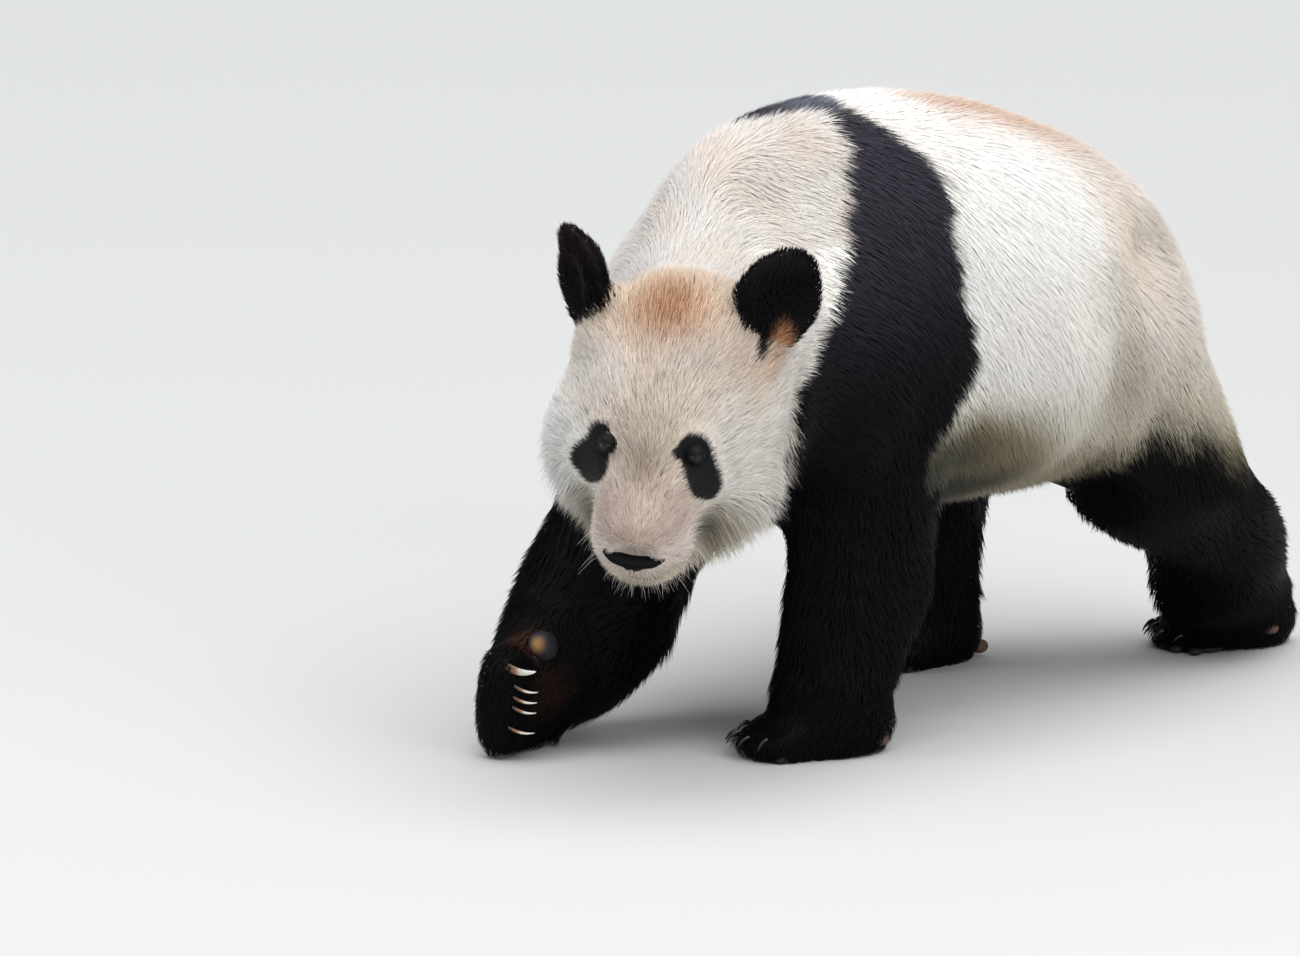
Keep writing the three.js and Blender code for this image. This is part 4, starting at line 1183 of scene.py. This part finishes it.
def tuft_mesh(name, material, seed, sown, bent, gather, lock, uneven, root_shade):
    """One mesh of closed tufts. A bent one is a spindle of five points, root, three round its waist
    and tip; a straight one is a spike of four, three at its root and its tip."""
    root, normal, lie, coats, colour, bake = sown
    draw = np.random.default_rng(seed)
    count = len(root)
    turn = draw.normal(0, 0.16, count) + 0.16 * waves(root, 0.05, seed + 1)
    side = np.cross(normal, lie)
    lie = lie * np.cos(turn)[:, None] + side * np.sin(turn)[:, None]
    side = np.cross(normal, lie)
    length = (coats[:, LENGTH] * draw.uniform(0.72, 1.12, count) * MM)[:, None]
    width = (coats[:, WIDTH] * draw.uniform(0.75, 1.2, count) * MM)[:, None]
    lift = np.radians(coats[:, LIFT] * draw.uniform(0.6, 1.25, count))[:, None]
    start = root - normal * TUFT_SUNK * MM
    waist = root + length * WAIST_AT * (lie * np.cos(lift * STEEPER) + normal * np.sin(lift * STEEPER))
    tip = root + length * (lie * np.cos(lift * FLATTER) + normal * np.sin(lift * FLATTER))

    # Tufts whose roots share a cell, as wide as a lock, lean together at their tips.
    cell = np.floor((root + lie * waves(root, 0.02, seed + 2)[:, None] * 0.004) / lock).astype(np.int64)
    _, group = np.unique(cell @ CELL_PRIMES, return_inverse=True)
    size = np.bincount(group)
    heart = np.stack([np.bincount(group, column) / size for column in tip.T], 1)[group]
    pull = gather * draw.uniform(0.6, 1.2, (count, 1))
    tip += (heart - tip) * pull
    waist += (heart - tip) * pull * 0.25

    # Tufts differ in shade, each a little from its lock, and one in six is darker.
    shade = draw.normal(1, uneven, count) + 0.5 * uneven * draw.normal(0, 1, len(size))[group]
    shade -= 2.6 * uneven * (draw.uniform(size=count) < 0.16)
    colour = colour * shade[:, None]
    left, right = unit(normal - side * 0.7), unit(normal + side * 0.7)
    half = side * width / 2
    # Each tuft is painted darker at its root and a little lighter at its tip: painted shade deep in the
    # coat.
    if bent:
        points = (start, waist - half, waist + normal * width * WAIST_THICK, waist + half, tip)
        shading = (normal, left, normal, right, unit(normal + lie * 0.25))
        tints = (colour * 0.86, colour, colour, colour, colour * 1.03)
        faces = (0, 1, 2), (0, 2, 3), (0, 3, 1), (4, 2, 1), (4, 3, 2), (4, 1, 3)
        patch = (0, 0), (0.5, 0), (0.5, 0.5), (0.5, 1), (1, 0.5)
    else:
        start -= lie * length * 0.1
        points = (start - half, start + normal * width * SPIKE_THICK, start + half, tip)
        shading = (left, normal, right, unit(normal + lie * 0.2))
        tints = (colour * root_shade, colour * (root_shade + 0.06), colour * root_shade, colour * 1.07)
        faces = (0, 3, 1), (1, 3, 2), (0, 2, 3), (0, 1, 2)
        patch = (0, 0), (0, 0.5), (0, 1), (1, 0.5)
    points_each = len(points)
    points, shading, tints = (np.stack(rows, 1).reshape(-1, 3) for rows in (points, shading, tints))
    points[:, 2] = np.maximum(points[:, 2], TUFT_CLEAR * MM)
    faces = (np.array(faces)[None] + np.arange(count)[:, None, None] * points_each).reshape(-1, 3)
    patch = (np.array(patch) - 0.5) * BAKE_PATCH
    spots = (bake[:, None, :] + patch[None]).reshape(-1, 2)[faces.ravel()]

    mesh = bpy.data.meshes.new(name)
    mesh.vertices.add(len(points))
    mesh.vertices.foreach_set("co", points.astype(np.float32).ravel())
    mesh.loops.add(faces.size)
    mesh.loops.foreach_set("vertex_index", faces.ravel().astype(np.int32))
    mesh.polygons.add(len(faces))
    mesh.polygons.foreach_set("loop_start", np.arange(0, faces.size, 3, dtype=np.int32))
    mesh.update()
    mesh.polygons.foreach_set("use_smooth", np.ones(len(faces), bool))
    paint(mesh, "fur_tint", np.clip(tints, 0, 1))
    mesh.uv_layers.new(name=BAKE_MAP).uv.foreach_set("vector", spots.astype(np.float32).ravel())
    mesh.normals_split_custom_set_from_vertices(shading.astype(np.float32))
    mesh.materials.append(material)
    return placed_in_scene(name, mesh)


def over_lids(root, normal):
    """Lifts the tufts near an eye onto its lids, and says which stay clear of the open eye."""
    kept = np.ones(len(root), bool)
    for side, (eye_x, eye_z, gaze) in eye_axes.items():
        from_eye = root - eye_centre[side]
        far = np.linalg.norm(from_eye, axis=1)
        way = from_eye / far[:, None]
        across, upward, ahead = way @ eye_x, way @ eye_z, way @ gaze
        near = (far < 24 * MM) & (ahead > 0)
        open_up = np.where(upward > 0, APERTURE_UP, APERTURE_DOWN)
        kept &= ~(near & (np.hypot(across / APERTURE_WIDE, upward / open_up) < 1.35))
        sunk = near & (far < LID_RADIUS * MM)
        root = np.where(sunk[:, None], eye_centre[side] + way * (LID_RADIUS - 0.2) * MM, root)
        normal = np.where(sunk[:, None], way, normal)
    return root, normal, kept


# Roots lie evenly on the skin: they step by one over the plastic number, and by its square.
STEP_U, STEP_V = 0.7548776662, 0.5698402910


def coat(name, parts, slot, seed, black=None, bent=True,
         gather=0.3, lock=13 * MM, uneven=0.06, root_shade=0.84):
    """Sows tufts on the named parts, or on their black or white share, and makes pieces of them."""
    draw = np.random.default_rng(seed * 100)
    here = of_part(corner_owner, *parts) & (corner_sole < 0.5)
    if black is not None:
        here &= (corner_black > 0.5) == black
    chosen = np.flatnonzero(here)
    gaps = coat_here[corners[chosen], GAP].mean(1) * MM
    total = np.cumsum(corner_area[chosen] / gaps ** 2)
    count = int(total[-1])
    triangle = chosen[np.searchsorted(total, np.arange(count) + 0.5)]
    step = np.arange(count)
    u, v = (step * STEP_U) % 1, (step * STEP_V) % 1
    u, v = (u + draw.uniform(0, 0.15, count)) % 1, (v + draw.uniform(0, 0.15, count)) % 1
    over = u + v > 1
    u, v = np.where(over, 1 - u, u), np.where(over, 1 - v, v)
    share = np.stack([1 - u - v, u, v], 1)

    def at_root(values, at=corners):
        return np.einsum("ij,ijk->ik", share, values[at[triangle]])

    root, normal, kept = over_lids(at_root(hide_points), unit(at_root(hide_normals)))
    lie = laid_flat(at_root(hide_lie), normal)
    coats, bake = at_root(coat_here), at_root(bake_spots, corner_loops)
    ragged = draw.normal(0, 0.0035, count)
    colour, _ = markings_and_painted_light(shown_at(root, normal, lie, coats), corner_owner[triangle], ragged)
    sown = [rows[kept] for rows in (root, normal, lie, coats, colour, bake)]
    count = len(sown[0])
    fur = white_fur if slot == "white_coat" else black_fur
    pieces = math.ceil(count * (6 if bent else 4) / MOST_TRIANGLES)
    for n in range(pieces):
        some = slice(n * count // pieces, (n + 1) * count // pieces)
        label = f"coat_{name}" + (f"_{n + 1}" if pieces > 1 else "")
        piece = tuft_mesh(label, fur.material, seed * 10 + n, [rows[some] for rows in sown],
                          bent, gather, lock, uneven, root_shade)
        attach(piece, "root")


TRUNK_WHITE = {"slot": "white_coat", "black": False, "bent": False}
LEG_BLACK = {"slot": "black_coat", "black": True, "gather": 0.4}
coat("head", ("head", "lower_jaw"), "white_coat", 1, bent=False, lock=4 * MM, uneven=0.10, root_shade=0.80)
coat("ears", ("ear",), "black_coat", 2, gather=0.4, lock=5 * MM)
coat("neck", ("neck", "chest", "shoulder"), seed=3,
     gather=0.15, lock=6 * MM, uneven=0.05, root_shade=0.80, **TRUNK_WHITE)
coat("shoulders_and_forelegs", ("neck", "chest", "shoulder", "forearm"), seed=4, **LEG_BLACK)
coat("loin", ("loin",), seed=5, gather=0.14, lock=9 * MM, uneven=0.03, root_shade=0.90, **TRUNK_WHITE)
coat("rump", ("rump", "tail"), seed=6, gather=0.14, lock=9 * MM, uneven=0.035, root_shade=0.89, **TRUNK_WHITE)
coat("thighs", ("thigh", "shank"), seed=7, gather=0.2, lock=9 * MM, uneven=0.05, **TRUNK_WHITE)
coat("hind_legs", ("thigh", "shank"), seed=8, **LEG_BLACK)
coat("feet", ("forepaw", "hindfoot"), "black_coat", 9, gather=0.35, lock=8 * MM)
